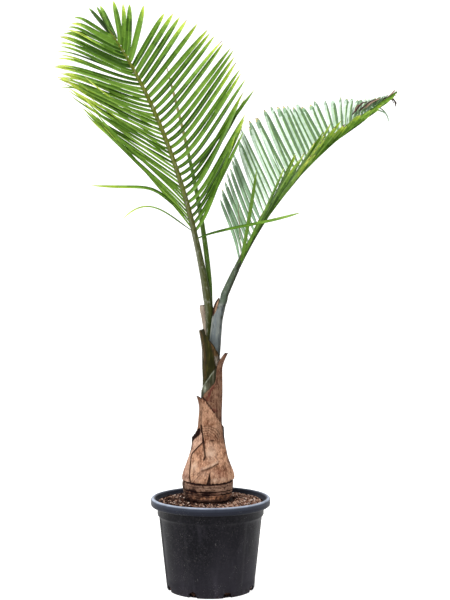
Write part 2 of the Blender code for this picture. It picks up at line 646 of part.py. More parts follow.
def main():
    clear_scene()
    palm = new_collection("bottle_palm")
    cutters = new_collection("cutters")
    build_pot(palm, cutters)
    build_soil(palm)
    build_trunk(palm)
    build_sheaths(palm)
    build_limbs(palm, cutters)
    build_fronds(palm)


main()
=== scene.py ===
import json
import math

import bmesh
import bpy
import numpy as np
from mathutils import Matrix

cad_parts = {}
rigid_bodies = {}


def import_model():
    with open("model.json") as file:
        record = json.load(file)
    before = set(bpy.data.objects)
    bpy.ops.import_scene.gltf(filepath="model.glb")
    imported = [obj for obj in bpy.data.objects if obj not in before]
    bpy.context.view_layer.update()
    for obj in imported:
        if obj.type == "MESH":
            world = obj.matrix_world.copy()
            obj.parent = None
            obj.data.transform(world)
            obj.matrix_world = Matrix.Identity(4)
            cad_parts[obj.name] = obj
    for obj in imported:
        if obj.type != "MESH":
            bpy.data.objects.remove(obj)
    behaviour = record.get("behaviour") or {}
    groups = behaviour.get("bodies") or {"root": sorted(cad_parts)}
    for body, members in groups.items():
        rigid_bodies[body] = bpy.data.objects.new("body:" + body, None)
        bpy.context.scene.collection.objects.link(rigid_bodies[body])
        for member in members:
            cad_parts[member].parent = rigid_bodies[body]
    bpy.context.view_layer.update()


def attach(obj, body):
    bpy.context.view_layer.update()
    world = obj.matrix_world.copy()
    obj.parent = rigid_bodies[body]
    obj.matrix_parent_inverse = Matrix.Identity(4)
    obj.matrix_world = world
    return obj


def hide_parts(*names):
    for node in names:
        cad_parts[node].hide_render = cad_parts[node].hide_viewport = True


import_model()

# Lengths are metres. A place on the column is given by its height and its turn from the front, in degrees,
# positive to the right of the usual view.

studio = {
    "cameraPlace": (0.041, -3.0, 0.82),
    "lens": 63.0,
    "sensor": 36.0,
    "floorColour": (0.62, 0.62, 0.61),
    "floorGlow": 0.8,
    "glowFromY": (-1.0, -0.2),
    "glowColours": ((0.02, 0.02, 0.02), (1.0, 1.0, 1.0)),
    "floorRadius": 9.0,
    "wallHeight": 10.8,
    "cornerRadius": 3.6,
    "bends": 24,
    "steps": 96,
    "skyColour": (1.0, 1.0, 1.0),
    "skyStrength": 0.24,
    # name, place, size across, watts
    "lamps": (
        ("keyLamp", (-1.5, -2.6, 3.2), 1.3, 118.0),
        ("fillLamp", (2.3, -2.4, 1.6), 2.2, 12.0),
        ("topLamp", (0.2, 0.2, 3.9), 1.8, 42.0),
        ("backLamp", (0.8, 2.6, 2.4), 1.8, 8.0),
    ),
    "lampsAimAt": (0.0, 0.0, 0.75),
}


# A value that changes over a surface. Sums and products of such values add the nodes that they need.
class Field:
    def __init__(self, finish, socket):
        self.finish = finish
        self.socket = socket

    def join(self, operation, other, clamp=False):
        settings = {"operation": operation, "use_clamp": clamp}
        return self.finish.node("ShaderNodeMath", settings, {0: self, 1: other})

    def __add__(self, other):
        return self.join("ADD", other)

    def __sub__(self, other):
        return self.join("SUBTRACT", other)

    def __mul__(self, other):
        return self.join("MULTIPLY", other)

    # Kept between 0 and 1
    def within(self):
        return self.join("ADD", 0.0, clamp=True)

    # Goes smoothly from 0 to 1 while the value goes from start to end, which may be the lower of the two
    def step(self, start, end):
        settings = {"interpolation_type": "SMOOTHSTEP"}
        return self.finish.node("ShaderNodeMapRange", settings, {0: self, 1: start, 2: end})


# A material in the making. What is the same all over it is set on the shader's own sockets.
class Finish:
    def __init__(self, name, colour, roughness, **sheen):
        self.material = bpy.data.materials.new(name)
        self.material.use_nodes = True
        self.tree = self.material.node_tree
        self.shader = self.tree.nodes["Principled BSDF"]
        self.shader.inputs["Base Color"].default_value = (*colour, 1.0)
        self.shader.inputs["Roughness"].default_value = roughness
        for key, value in sheen.items():
            self.shader.inputs[key.replace("_", " ")].default_value = value
        self.place = self.node("ShaderNodeTexCoord", output="Object")

    def node(self, kind, settings=None, sockets=None, output=0):
        made = self.tree.nodes.new(kind)
        for key, value in (settings or {}).items():
            setattr(made, key, value)
        for key, value in (sockets or {}).items():
            if isinstance(value, Field):
                self.tree.links.new(value.socket, made.inputs[key])
            else:
                made.inputs[key].default_value = value
        return Field(self, made.outputs[output])

    def axis(self, name):
        return self.node("ShaderNodeSeparateXYZ", None, {0: self.place}, name)

    # A value stored with the points of a piece
    def stored(self, name):
        return self.node("ShaderNodeAttribute", {"attribute_name": name}, None, "Fac")

    # The place, drawn out so that a pattern comes closer along the axes that the stretch enlarges
    def stretched(self, stretch):
        return self.node("ShaderNodeVectorMath", {"operation": "MULTIPLY"}, {0: self.place, 1: stretch})

    # Cloudy noise of so many features a metre
    def noise(self, scale, stretch=(1.0, 1.0, 1.0), detail=3.0, rough=0.55):
        return self.node("ShaderNodeTexNoise", None, {"Vector": self.stretched(stretch), "Scale": scale,
                                                      "Detail": detail, "Roughness": rough})

    # Distance to the nearest of scattered points
    def cells(self, scale):
        return self.node("ShaderNodeTexVoronoi", None, {"Vector": self.place, "Scale": scale}, "Distance")

    def mix(self, share, first, second):
        ends = [end if isinstance(end, Field) else (*end, 1.0) for end in (first, second)]
        return self.node("ShaderNodeMix", {"data_type": "RGBA"}, {0: share, 6: ends[0], 7: ends[1]}, 2)

    def feed(self, socket, field):
        self.tree.links.new(field.socket, self.shader.inputs[socket])

    def bump(self, height, depth, strength):
        sockets = {"Height": height, "Distance": depth, "Strength": strength}
        self.feed("Normal", self.node("ShaderNodeBump", None, sockets))


# A colour made darker, or lighter as far as white
def shadeOf(colour, factor):
    return tuple(min(1.0, factor * value) for value in colour)


def unit(vectors):
    return vectors / np.linalg.norm(vectors, axis=-1, keepdims=True)


# The part of a given direction that is square to each of the directions ahead
def squareTo(facing, ahead):
    return unit(facing - np.sum(facing * ahead, axis=-1, keepdims=True) * ahead)


# Quads of a grid of points, closed across its last row or round its last column where asked
def gridFaces(rows, columns, closeRows=False, closeColumns=False):
    row, column = np.meshgrid(np.arange(rows if closeRows else rows - 1),
                              np.arange(columns if closeColumns else columns - 1), indexing="ij")
    nextRow, nextColumn = (row + 1) % rows, (column + 1) % columns
    corners = (row * columns + column, row * columns + nextColumn,
               nextRow * columns + nextColumn, nextRow * columns + column)
    return np.stack(corners, axis=-1).reshape(-1, 4).tolist()


# Faces of a tube of rings, with an end face at either end
def tubeFaces(rows, columns):
    last = (rows - 1) * columns
    ends = [list(range(columns)), list(range(last, last + columns))]
    return gridFaces(rows, columns, closeColumns=True) + ends


smallestRing = 0.002              # radius of the middle of a turned plate, which an end face closes


# Even turns round a ring, in radians
def evenTurns(steps):
    return 2.0 * math.pi * np.arange(steps) / steps


# Even turns round a column, in degrees from the front
def around(steps):
    return np.linspace(-180.0, 180.0, steps, endpoint=False)


# Rings round the z axis
def ringPoints(radius, z, turn):
    radius, z, turn = np.broadcast_arrays(radius, z, turn)
    return np.stack((radius * np.cos(turn), radius * np.sin(turn), z), axis=-1)


# Turns the faces of a closed mesh outwards
def faceOutwards(mesh):
    bm = bmesh.new()
    bm.from_mesh(mesh)
    bmesh.ops.recalc_face_normals(bm, faces=bm.faces)
    bm.to_mesh(mesh)
    bm.free()


# Makes a mesh of a piece, which rides on the plant and hides the parts of the record that it replaces
def addPiece(name, points, faces, finishes, replaced, sharpOver, faceFinish=None, stored=None):
    mesh = bpy.data.meshes.new(name)
    mesh.from_pydata(np.asarray(points, float).reshape(-1, 3).tolist(), [], faces)
    for finish in finishes:
        mesh.materials.append(finish)
    if faceFinish is not None:
        mesh.polygons.foreach_set("material_index", np.asarray(faceFinish, np.int32).ravel())
    for key, values in (stored or {}).items():
        layer = mesh.attributes.new(key, "FLOAT", "POINT")
        layer.data.foreach_set("value", np.asarray(values, np.float32).ravel())
    faceOutwards(mesh)
    mesh.update()
    mesh.shade_smooth()
    mesh.set_sharp_from_angle(angle=math.radians(sharpOver))
    piece = bpy.data.objects.new(name, mesh)
    bpy.context.scene.collection.objects.link(piece)
    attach(piece, "root")
    if replaced:
        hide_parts(*replaced)
    return piece


# Smooth unevenness round a column: a sum of waves with a whole number of crests round it, so that it closes
def unevenness(front, z, seed, roundest=8, closest=70.0, waves=16):
    rng = np.random.default_rng(seed)
    crests = rng.integers(1, roundest + 1, waves)
    pitch = rng.uniform(-closest, closest, waves)
    phase = rng.uniform(0.0, 2.0 * math.pi, waves)
    total = np.zeros(np.broadcast(front, z).shape)
    for k in range(waves):
        total = total + np.cos(crests[k] * np.radians(front) + pitch[k] * z + phase[k])
    return total / math.sqrt(waves)


# Relief of a surface: a sum of unevenness, each row of it being (height, seed, roundest, closest, waves)
def relief(front, z, rows):
    return sum(high * unevenness(front, z, *row) for high, *row in rows)


# Teeth along an edge, where unevenness depends on the turn only
def teeth(front, high, seed, roundest, waves):
    return high * unevenness(front, 0.0 * front, seed, roundest=roundest, waves=waves)


# Signed difference of two turns in degrees
def turnFrom(front, middle):
    return (front - middle + 180.0) % 360.0 - 180.0


# Goes smoothly from 0 to 1 as a value goes from start to end
def smoothStep(value, start, end):
    t = np.clip((value - start) / (end - start), 0.0, 1.0)
    return t * t * (3.0 - 2.0 * t)


# How near a point of a column is to a line drawn on it: 1 on the line and 0 at the line's half width. The
# line is straight between knots of (turn, height), and a turn is made a length with the column's radius
# there.
def nearLine(front, z, radius, knots, halfWidth):
    nearest = np.full(np.broadcast(front, z).shape, 1.0e9)
    for (turnA, heightA), (turnB, heightB) in zip(knots, knots[1:]):
        runX = math.radians(turnB - turnA) * radius
        runZ = heightB - heightA
        offX = np.radians(turnFrom(front, turnA)) * radius
        offZ = z - heightA
        share = np.clip((offX * runX + offZ * runZ) / (runX ** 2 + runZ ** 2 + 1.0e-12), 0.0, 1.0)
        nearest = np.minimum(nearest, np.hypot(offX - share * runX, offZ - share * runZ))
    return np.clip(1.0 - nearest / halfWidth, 0.0, 1.0)


# Bell round a place on a column, in degrees and metres
def patch(front, z, turn, height, wide, tall):
    return np.exp(-(turnFrom(front, turn) / wide) ** 2 - ((z - height) / tall) ** 2)


# Sum of bells, each row of them being (strength, turn, height, degrees, metres)
def spots(front, z, rows):
    return sum(strength * patch(front, z, *place) for strength, *place in rows)


# Sum of regions, each row of them being (strength, turns, heights): a region fades in between the two turns,
# or heights, of each of its pairs
def regions(front, z, rows):
    total = 0.0 * (front + z)
    for strength, turns, heights in rows:
        share = strength
        for start, end in turns:
            share = share * smoothStep(front, start, end)
        for start, end in heights:
            share = share * smoothStep(z, start, end)
        total = total + share
    return total


column = {
    # its middle leans a little to the right: (height, x)
    "lean": ((0.2503, -0.0062), (0.363, -0.0062), (0.4, -0.0055), (0.43, -0.0035), (0.46, -0.0005),
             (0.5, 0.0005), (0.56, 0.0025), (0.62, 0.003), (0.67, 0.002), (0.74, 0.001)),
    "hemRise": 0.0062,            # the lowest hem stands higher at the sides than at the front
}


def alongTable(z, table):
    return np.interp(z, [row[0] for row in table], [row[1] for row in table])


# Points on the column at a turn from the front, a radius and a height
def onColumn(front, radius, z):
    front, radius, z = np.broadcast_arrays(np.radians(front), radius, z)
    middle = alongTable(z, column["lean"])
    return np.stack((middle + radius * np.sin(front), -radius * np.cos(front), z), axis=-1)


def hemRise(front):
    return column["hemRise"] * (1.0 - np.cos(np.radians(front)))


print("stage: pot")

pot = {
    "height": 0.258,
    "steps": 160,
    "wall": 0.0028,
    "wallFootRadius": 0.1245,
    "wallTopRadius": 0.147,
    "collarRadius": 0.1515,
    "ledgeZ": 0.209,
    "ledgeSlope": 0.0025,
    "lipRadius": 0.17,
    "lipHeight": 0.023,
    "lipWidth": 0.0125,
    "lipRound": 0.0055,
    "lipBends": 14,
    "chamfer": 0.005,
    "panels": 6,
    "panelTurn": 37.5,
    "panelDepth": 0.0028,
    "panelFrom": 0.022,
    "panelTo": 0.204,
    "wobble": 0.0005,
    "notches": 8,
    "firstNotch": 22.5,
    "notchWide": 0.024,
    "notchDeep": 0.016,
    "notchHigh": 0.0175,
    "notchTeeth": 0.0022,
    "notchPoints": 9,
    "notchArch": 0.55,
    "notchBelow": 0.004,
    "panelEase": (0.01, 0.004),  # heights over which a panel begins and ends
    "panelEdge": (-0.86, -0.74),  # cosines between which its edge slopes
    "wobbleOver": (0.02, 0.1),
    "sharpOver": 50.0,
    "seed": 11,
    "colours": {
        "clean": (0.0035, 0.0035, 0.0055),
        "filmed": (0.034, 0.031, 0.041),
        "grime": (0.024, 0.022, 0.028),
        "foot": (0.01, 0.005, 0.004),
        # the lip's colours grow lighter with height as painted light: navy low on it, then a painted grey-blue
        # reflection and a painted highlight on its top
        "lipLow": (0.016, 0.018, 0.028),
        "lipSheen": (0.042, 0.049, 0.071),
        "lipHighlight": (0.44, 0.5, 0.62),
        "specks": (0.2, 0.19, 0.18),
    },
    # heights over which each of the lip's colours begins, lighter with height as painted light, and the radii
    # over which the painted sheen on its outer side begins
    "lipSteps": ((0.2335, 0.24), (0.243, 0.2535), (0.253, 0.2578)),
    "lipSheen": (0.16, 0.165),
}


# Black moulded plastic: dust in specks and a thin film that thickens towards the foot, under faint upright
# scuffs. The lip is painted lighter with height as painted light: navy low on it, going to a painted grey-blue
# reflection and highlight towards its top, most of all on its outer side, which is found from the square of the
# distance to the middle.
def potPlastic():
    colours = pot["colours"]
    finish = Finish("potPlastic", (0.012, 0.012, 0.014), 0.52, Specular_IOR_Level=0.08)
    height = finish.axis("Z")
    film = finish.noise(9.0, (1.0, 1.0, 0.35)).step(0.42, 0.72) * height.step(0.26, 0.02) * 0.5
    film = (film + height.step(0.15, 0.02) * 0.3).within()
    scuffs = finish.noise(60.0, (1.0, 1.0, 0.12)).step(0.52, 0.75) * 0.35
    specks = finish.noise(420.0, detail=1.0).step(0.64, 0.76) * finish.noise(30.0).step(0.44, 0.62)
    grime = finish.noise(170.0, detail=5.0, rough=0.75).step(0.46, 0.66)
    foot = height.step(0.022, 0.004) * finish.noise(75.0, detail=4.0).step(0.54, 0.62) * 0.8
    dusty = finish.mix((film + scuffs * 0.7).within(), colours["clean"], colours["filmed"])
    dusty = finish.mix(grime * 0.55, dusty, colours["grime"])
    dusty = finish.mix(foot, dusty, colours["foot"])
    awaySquared = finish.axis("X") * finish.axis("X") + finish.axis("Y") * finish.axis("Y")
    inside, outside = pot["lipSheen"]
    # painted reflection on the lip, patchy and strongest on its outer side
    paintedSheen = finish.noise(24.0, detail=4.0, rough=0.6).step(0.25, 0.7) * 0.45 + 0.55
    paintedSheen = paintedSheen * (awaySquared.step(inside ** 2, outside ** 2) * 0.88 + 0.12)
    low, side, top = pot["lipSteps"]
    lip = finish.mix(height.step(*low), dusty, colours["lipLow"])
    lip = finish.mix(height.step(*side) * paintedSheen, lip, colours["lipSheen"])
    lip = finish.mix(height.step(*top) * paintedSheen, lip, colours["lipHighlight"])
    finish.feed("Base Color", finish.mix(specks * 0.5, lip, colours["specks"]))
    finish.feed("Roughness", (finish.noise(45.0, (1.0, 1.0, 0.3)) * 0.22 + film * 0.35 + 0.36).within())
    finish.bump(finish.noise(150.0) + scuffs * 0.6, 0.0005, 0.5)
    return finish.material


# Turned walls: the profile's radius at each height, carried round in steps, with shallow upright panels
# pressed in between two heights and a slow unevenness that keeps it from being quite round
def potPoints():
    p = pot
    lipLow = p["height"] - p["lipHeight"]
    lipRadius, halfLip = p["lipRadius"], p["lipWidth"] / 2
    footIn = p["wallFootRadius"] - p["wall"]
    collarIn = p["collarRadius"] - p["wall"]
    inner = [(smallestRing, p["wall"]), (footIn - p["chamfer"], p["wall"]),
             (footIn, p["wall"] + p["chamfer"]), (p["wallTopRadius"] - p["wall"], p["ledgeZ"]),
             (collarIn, p["ledgeZ"] + 2 * p["ledgeSlope"]),
             (collarIn, lipLow + p["wall"]), (lipRadius - p["lipWidth"], lipLow + p["lipHeight"] / 2)]
    rounded = [(lipRadius - halfLip * (1.0 + math.cos(a)), p["height"] - (1.0 - math.sin(a)) * p["lipRound"])
               for a in np.linspace(0.0, math.pi, p["lipBends"] + 1)]
    under = [(lipRadius, lipLow + 0.006), (lipRadius - 0.0007, lipLow + 0.0025),
             (lipRadius - 0.003, lipLow + 0.0004), (p["collarRadius"] + 0.0015, lipLow),
             (p["collarRadius"], lipLow - 0.0015), (p["collarRadius"], p["ledgeZ"] + 0.003),
             (p["collarRadius"] - 0.0008, p["ledgeZ"] + 0.0008)]
    wallTopZ = p["ledgeZ"] - p["ledgeSlope"]
    slope = (p["wallTopRadius"] - p["wallFootRadius"]) / wallTopZ
    outer = [(p["wallFootRadius"] + slope * z, z) for z in np.linspace(wallTopZ, 0.0035, 40)]
    foot = [(p["wallFootRadius"] - 0.0012, 0.0006), (p["wallFootRadius"] - 0.003, 0.0), (smallestRing, 0.0)]
    profile = np.array(inner + rounded + under + outer + foot)
    radius, z = profile[:, :1], profile[:, 1:]
    turn = evenTurns(p["steps"])
    isOuter = (np.arange(len(profile)) >= len(inner + rounded + under))[:, None]
    begins, ends = p["panelEase"]
    onWall = smoothStep(z, p["panelFrom"], p["panelFrom"] + begins)
    onWall = onWall * smoothStep(z, p["panelTo"], p["panelTo"] - ends)
    panel = smoothStep(np.cos(p["panels"] * (turn - math.radians(p["panelTurn"]))), *p["panelEdge"])
    slow = p["wobble"] * np.sin(2.0 * turn + 0.7) * (radius > 0.01)
    radius = radius - p["panelDepth"] * (onWall * isOuter * panel) + slow * smoothStep(z, *p["wobbleOver"])
    return ringPoints(radius, z, turn), tubeFaces(len(profile), p["steps"])


# A ragged arch cut through the foot of the wall: a block whose top edge is a saw of small teeth
def notchPoints(turn, rng):
    across = np.linspace(-0.5, 0.5, pot["notchPoints"])
    teeth = rng.uniform(-1.0, 1.0, pot["notchPoints"]) * pot["notchTeeth"]
    top = pot["notchHigh"] * (1.0 - pot["notchArch"] * np.abs(2.0 * across) ** 4) + teeth
    side = across * pot["notchWide"]
    ring = [*zip(side, top), (side[-1], -pot["notchBelow"]), (side[0], -pot["notchBelow"])]
    depth = (pot["wallFootRadius"] - pot["notchDeep"] / 2, pot["wallFootRadius"] + pot["notchDeep"] / 2)
    points = [(r * math.cos(turn) - s * math.sin(turn), r * math.sin(turn) + s * math.cos(turn), t)
              for r in depth for s, t in ring]
    return points, tubeFaces(2, len(ring))


def buildPot():
    points, faces = potPoints()
    piece = addPiece("potShell", points, faces, [potPlastic()], ["pot"], pot["sharpOver"])
    rng = np.random.default_rng(pot["seed"])
    cutters = bpy.data.collections.new("notchCutters")
    bpy.context.scene.collection.children.link(cutters)
    for k in range(pot["notches"]):
        turn = math.radians(pot["firstNotch"] + 360.0 * k / pot["notches"])
        points, faces = notchPoints(turn, rng)
        mesh = bpy.data.meshes.new("notchCutter")
        mesh.from_pydata(points, [], faces)
        faceOutwards(mesh)
        cutters.objects.link(bpy.data.objects.new("notchCutter", mesh))
    tool = piece.modifiers.new("notches", "BOOLEAN")
    tool.operation = "DIFFERENCE"
    tool.operand_type = "COLLECTION"
    tool.collection = cutters
    tool.solver = "EXACT"
    graph = bpy.context.evaluated_depsgraph_get()
    mesh = bpy.data.meshes.new_from_object(piece.evaluated_get(graph), depsgraph=graph)
    piece.modifiers.clear()
    piece.data = mesh
    mesh.name = "potShell"
    mesh.set_sharp_from_angle(angle=math.radians(pot["sharpOver"]))
    for cutter in list(cutters.objects):
        bpy.data.objects.remove(cutter, do_unlink=True)
    bpy.data.collections.remove(cutters)


buildPot()
print("stage: soil")

soil = {
    "level": ((0.0, 0.25), (0.064, 0.25), (0.095, 0.248), (0.125, 0.245), (0.1508, 0.243)),
    "edgeRadius": 0.1508,
    "sides": ((0.1483, 0.219), (0.143, 0.205), (0.1215, 0.01), (smallestRing, 0.01)),
    "steps": 140,
    "rings": 60,
    "lumps": 0.00096,
    "lumpsOver": (0.066, 0.08),
    "colours": {"darkened": (0.008, 0.005, 0.004), "brown": (0.05, 0.026, 0.018), "crumb": (0.2, 0.11, 0.08)},
    "seed": 5,
    "chips": 6600,
    "fallenChips": 130,
    "chipFrom": 0.066,
    "chipTo": 0.148,
    "chipLong": (0.0022, 0.0085),
    "chipShorter": (0.6, 1.0),
    "chipWide": (0.45, 0.9),      # share of its length
    "chipFlat": (0.25, 0.6),      # share of its width
    "chipSkew": 0.3,
    "chipTilt": 0.45,
    "chipRoll": 0.35,
    "chipRise": 0.0002,
    "fallenSpread": 0.4,
    "fallenAway": (0.112, 0.1215),
    "fallenZ": (0.0045, 0.0095),
    # chips at the left are dealt darker kinds as painted shade and those at the right paler ones as painted
    # light;
    # by the trunk and in the notches they are dealt dark kinds as painted shade
    "leftOver": (0.03, -0.07),
    "shadedLeft": 0.45,
    "litRight": 0.42,
    "shadedOver": (0.068, 0.082),
    "shadedFallen": 0.85,
    "darkestShaded": 0.6,
    # colour, roughness and share of the chips
    "chipKinds": (
        ("chipDark", (0.012, 0.006, 0.005), 0.85, 0.34),
        ("chipBrown", (0.07, 0.03, 0.019), 0.8, 0.26),
        ("chipRed", (0.22, 0.105, 0.068), 0.75, 0.19),
        ("chipTan", (0.54, 0.34, 0.245), 0.75, 0.16),
        ("chipPale", (0.79, 0.62, 0.53), 0.7, 0.09),
    ),
}


# Dark crumbly mix between the chips, in two browns with paler crumbs
def soilMix():
    colours = soil["colours"]
    finish = Finish("soilMix", (0.056, 0.03, 0.021), 0.9, Specular_IOR_Level=0.05)
    crumbs = finish.noise(260.0, detail=5.0, rough=0.7)
    brown = finish.mix(crumbs.step(0.4, 0.66), colours["darkened"], colours["brown"])
    finish.feed("Base Color", finish.mix(finish.cells(330.0).step(0.16, 0.05) * 0.4, brown, colours["crumb"]))
    finish.feed("Roughness", (crumbs * 0.3 + 0.68).within())
    finish.bump(crumbs + finish.cells(240.0) * 0.6, 0.0025, 0.9)
    return finish.material


def chipFinish(name, colour, roughness):
    finish = Finish(name, colour, roughness, Specular_IOR_Level=0.08)
    grain = finish.noise(500.0, detail=2.0)
    finish.feed("Base Color", finish.mix(grain.step(0.35, 0.65), shadeOf(colour, 0.62), colour))
    finish.feed("Roughness", (grain * 0.25 + roughness - 0.12).within())
    finish.bump(grain, 0.0005, 0.5)
    return finish.material


# Height of the soil at a distance from the middle: flat by the trunk, falling to the wall, with small lumps
def soilHeight(x, y):
    away = np.hypot(x, y)
    lumps = np.sin(83.0 * x + 1.3) * np.sin(71.0 * y + 0.4)
    lumps = lumps + 0.6 * np.sin(171.0 * x + 2.0) * np.cos(157.0 * y)
    return alongTable(away, soil["level"]) + soil["lumps"] * lumps * smoothStep(away, *soil["lumpsOver"])


# Turned bed: rings from the middle to the wall follow the soil's height, then go down inside the pot and back
def buildSoil():
    turn = evenTurns(soil["steps"])
    top = ringPoints(np.linspace(smallestRing, soil["edgeRadius"], soil["rings"])[:, None], 0.0, turn)
    top[..., 2] = soilHeight(top[..., 0], top[..., 1])
    below = np.array(soil["sides"])
    points = np.concatenate((top, ringPoints(below[:, :1], below[:, 1:], turn)))
    faces = tubeFaces(len(points), soil["steps"])
    addPiece("soilBed", points, faces, [soilMix()], ["soil"], 60.0)


# Bark chips: each is a box of eight corners, flattened, pushed out of square and tumbled, laid on the soil
def buildChips():
    s = soil
    rng = np.random.default_rng(s["seed"])
    count, fallen = s["chips"], s["fallenChips"]
    away = np.sqrt(rng.uniform(s["chipFrom"] ** 2, s["chipTo"] ** 2, count))
    turn = rng.uniform(0.0, 2.0 * math.pi, count)
    x, y = away * np.cos(turn), away * np.sin(turn)
    long = rng.uniform(*s["chipLong"], count) * rng.uniform(*s["chipShorter"], count)
    wide = long * rng.uniform(*s["chipWide"], count)
    thick = wide * rng.uniform(*s["chipFlat"], count)
    square = ((-0.5, -0.5), (0.5, -0.5), (0.5, 0.5), (-0.5, 0.5))
    corners = np.array([(a, b, c) for c in (-0.5, 0.5) for a, b in square])
    shaped = corners[None] * (1.0 + rng.uniform(-s["chipSkew"], s["chipSkew"], (count, 8, 3)))
    shaped = shaped * np.stack((long, wide, thick), axis=-1)[:, None]
    heading, tip = rng.uniform(0.0, 2.0 * math.pi, count), rng.normal(0.0, s["chipTilt"], count)
    forwards = np.stack((np.cos(heading) * np.cos(tip), np.sin(heading) * np.cos(tip), np.sin(tip)), axis=-1)
    across = unit(np.cross((0.0, 0.0, 1.0), forwards) + s["chipRoll"] * rng.normal(size=(count, 3)))
    up = unit(np.cross(forwards, across))
    across = np.cross(up, forwards)
    placed = sum(shaped[..., k:k + 1] * axis[:, None] for k, axis in enumerate((forwards, across, up)))
    rise = rng.uniform(0.0, 0.5, count) * thick + s["chipRise"]
    centre = np.stack((x, y, soilHeight(x, y) + rise), axis=-1)
    # the last of them have fallen into the notches of the pot's foot
    notch = rng.integers(0, pot["notches"], fallen)
    hole = math.radians(pot["firstNotch"]) + notch * 2.0 * math.pi / pot["notches"]
    spread = s["fallenSpread"]
    hole = hole + rng.uniform(-spread, spread, fallen) * pot["notchWide"] / pot["wallFootRadius"]
    deep = rng.uniform(*s["fallenAway"], fallen)
    centre[-fallen:] = ringPoints(deep, rng.uniform(*s["fallenZ"], fallen), hole)
    box = np.array(((3, 2, 1, 0), (4, 5, 6, 7), (0, 1, 5, 4), (1, 2, 6, 5), (2, 3, 7, 6), (3, 0, 4, 7)))
    faces = (box[None] + 8 * np.arange(count)[:, None, None]).reshape(-1, 4).tolist()
    kinds = s["chipKinds"]
    shares = np.array([kind[3] for kind in kinds])
    dealt = rng.choice(len(kinds), count, p=shares / shares.sum())
    # painted shade on the chips at the left and painted light on those at the right
    left = smoothStep(x, *s["leftOver"])
    dealt = np.where(rng.uniform(0.0, 1.0, count) < s["shadedLeft"] * left, np.minimum(dealt, 1), dealt)
    paler = (rng.uniform(0.0, 1.0, count) < s["litRight"] * (1.0 - left)) & (dealt < 2)
    dealt = np.where(paler, dealt + 2, dealt)
    # painted shade: chips by the trunk and in the notches take the dark kinds
    darkened = rng.uniform(0.0, 1.0, count) > smoothStep(away, *s["shadedOver"])
    darkened[-fallen:] = rng.uniform(0.0, 1.0, fallen) < s["shadedFallen"]
    brown = np.minimum(dealt, 1) * (rng.uniform(0.0, 1.0, count) > s["darkestShaded"])
    dealt = np.where(darkened, brown, dealt)
    finishes = [chipFinish(*kind[:3]) for kind in kinds]
    points = placed + centre[:, None]
    addPiece("barkChips", points, faces, finishes, (), 20.0, np.repeat(dealt, 6))


buildSoil()
buildChips()
print("stage: trunk foot")

trunk = {
    "base": 0.2503,
    "top": 0.618,
    "turns": 300,
    "finestRow": 0.0008,
    "fineUpTo": 0.345,
    "coarseRows": 40,
    # height above the soil, radius: three worn rings, then the stem inside the sheaths
    "profile": ((0.0, 0.06), (0.004, 0.0648), (0.016, 0.0657), (0.0178, 0.0662), (0.0186, 0.0674),
                (0.03, 0.0684), (0.031, 0.0686), (0.0318, 0.0696), (0.044, 0.0704), (0.045, 0.0706),
                (0.0458, 0.0711), (0.052, 0.0712), (0.057, 0.0705), (0.064, 0.066), (0.085, 0.057),
                (0.115, 0.046), (0.15, 0.035), (0.19, 0.0255), (0.25, 0.0215), (0.33, 0.0195),
                (0.37, 0.018)),
    # heights of the grooves and how strong each is
    "rings": ((0.008, 0.5), (0.0236, 1.0), (0.0318, 1.0), (0.0454, 0.35)),
    "ringWobble": 0.00096,
    "grooveDeep": 0.0013,
    "grooveHalf": 0.0023,
    "relief": ((0.00035, 23, 70, 25.0, 30), (0.0007, 24, 12, 220.0, 16)),
    "wobbleOver": 0.01,
    # painted shadow at the soil, fading over these heights above it
    "shadedOver": (0.0095, 0.0035),  # heights above the soil
    # spots and regions of its stored values; where a spot is taken away, the value is lower
    "stains": ((1.0, -6.0, 0.2815, 20.0, 0.0095), (1.0, -30.0, 0.2815, 9.0, 0.005),
               (1.0, -52.0, 0.275, 16.0, 0.022), (0.5, 5.0, 0.2935, 3.5, 0.014),
               (0.5, 35.0, 0.274, 60.0, 0.0035), (0.6, -42.0, 0.285, 22.0, 0.011)),
    "orange": ((1.0, 4.0, 0.2655, 34.0, 0.0056), (0.4, 60.0, 0.269, 16.0, 0.004)),
    "tanLess": ((0.7, -35.0, 0.29, 12.0, 0.02),),
    "tanMore": ((0.8, ((18.0, 40.0),), ((0.2745, 0.2765), (0.283, 0.281))),),
    "shadowLess": ((0.55, -66.0, 0.305, 16.0, 0.03),),
    "shadowOver": (0.2996, 0.3026),
    "shadowFades": (0.3075, 0.311),
    "tanOver": (0.2835, 0.285),
    "tanUpTo": (0.301, 0.2985),
    "colours": {"deep": (0.06, 0.024, 0.016), "brown": (0.2, 0.098, 0.064), "fibre": (0.42, 0.255, 0.175),
                "pit": (0.03, 0.011, 0.009), "fleck": (0.5, 0.33, 0.25), "tan": (0.46, 0.285, 0.2),
                "orange": (0.68, 0.32, 0.17), "dark": (0.014, 0.005, 0.005)},
}


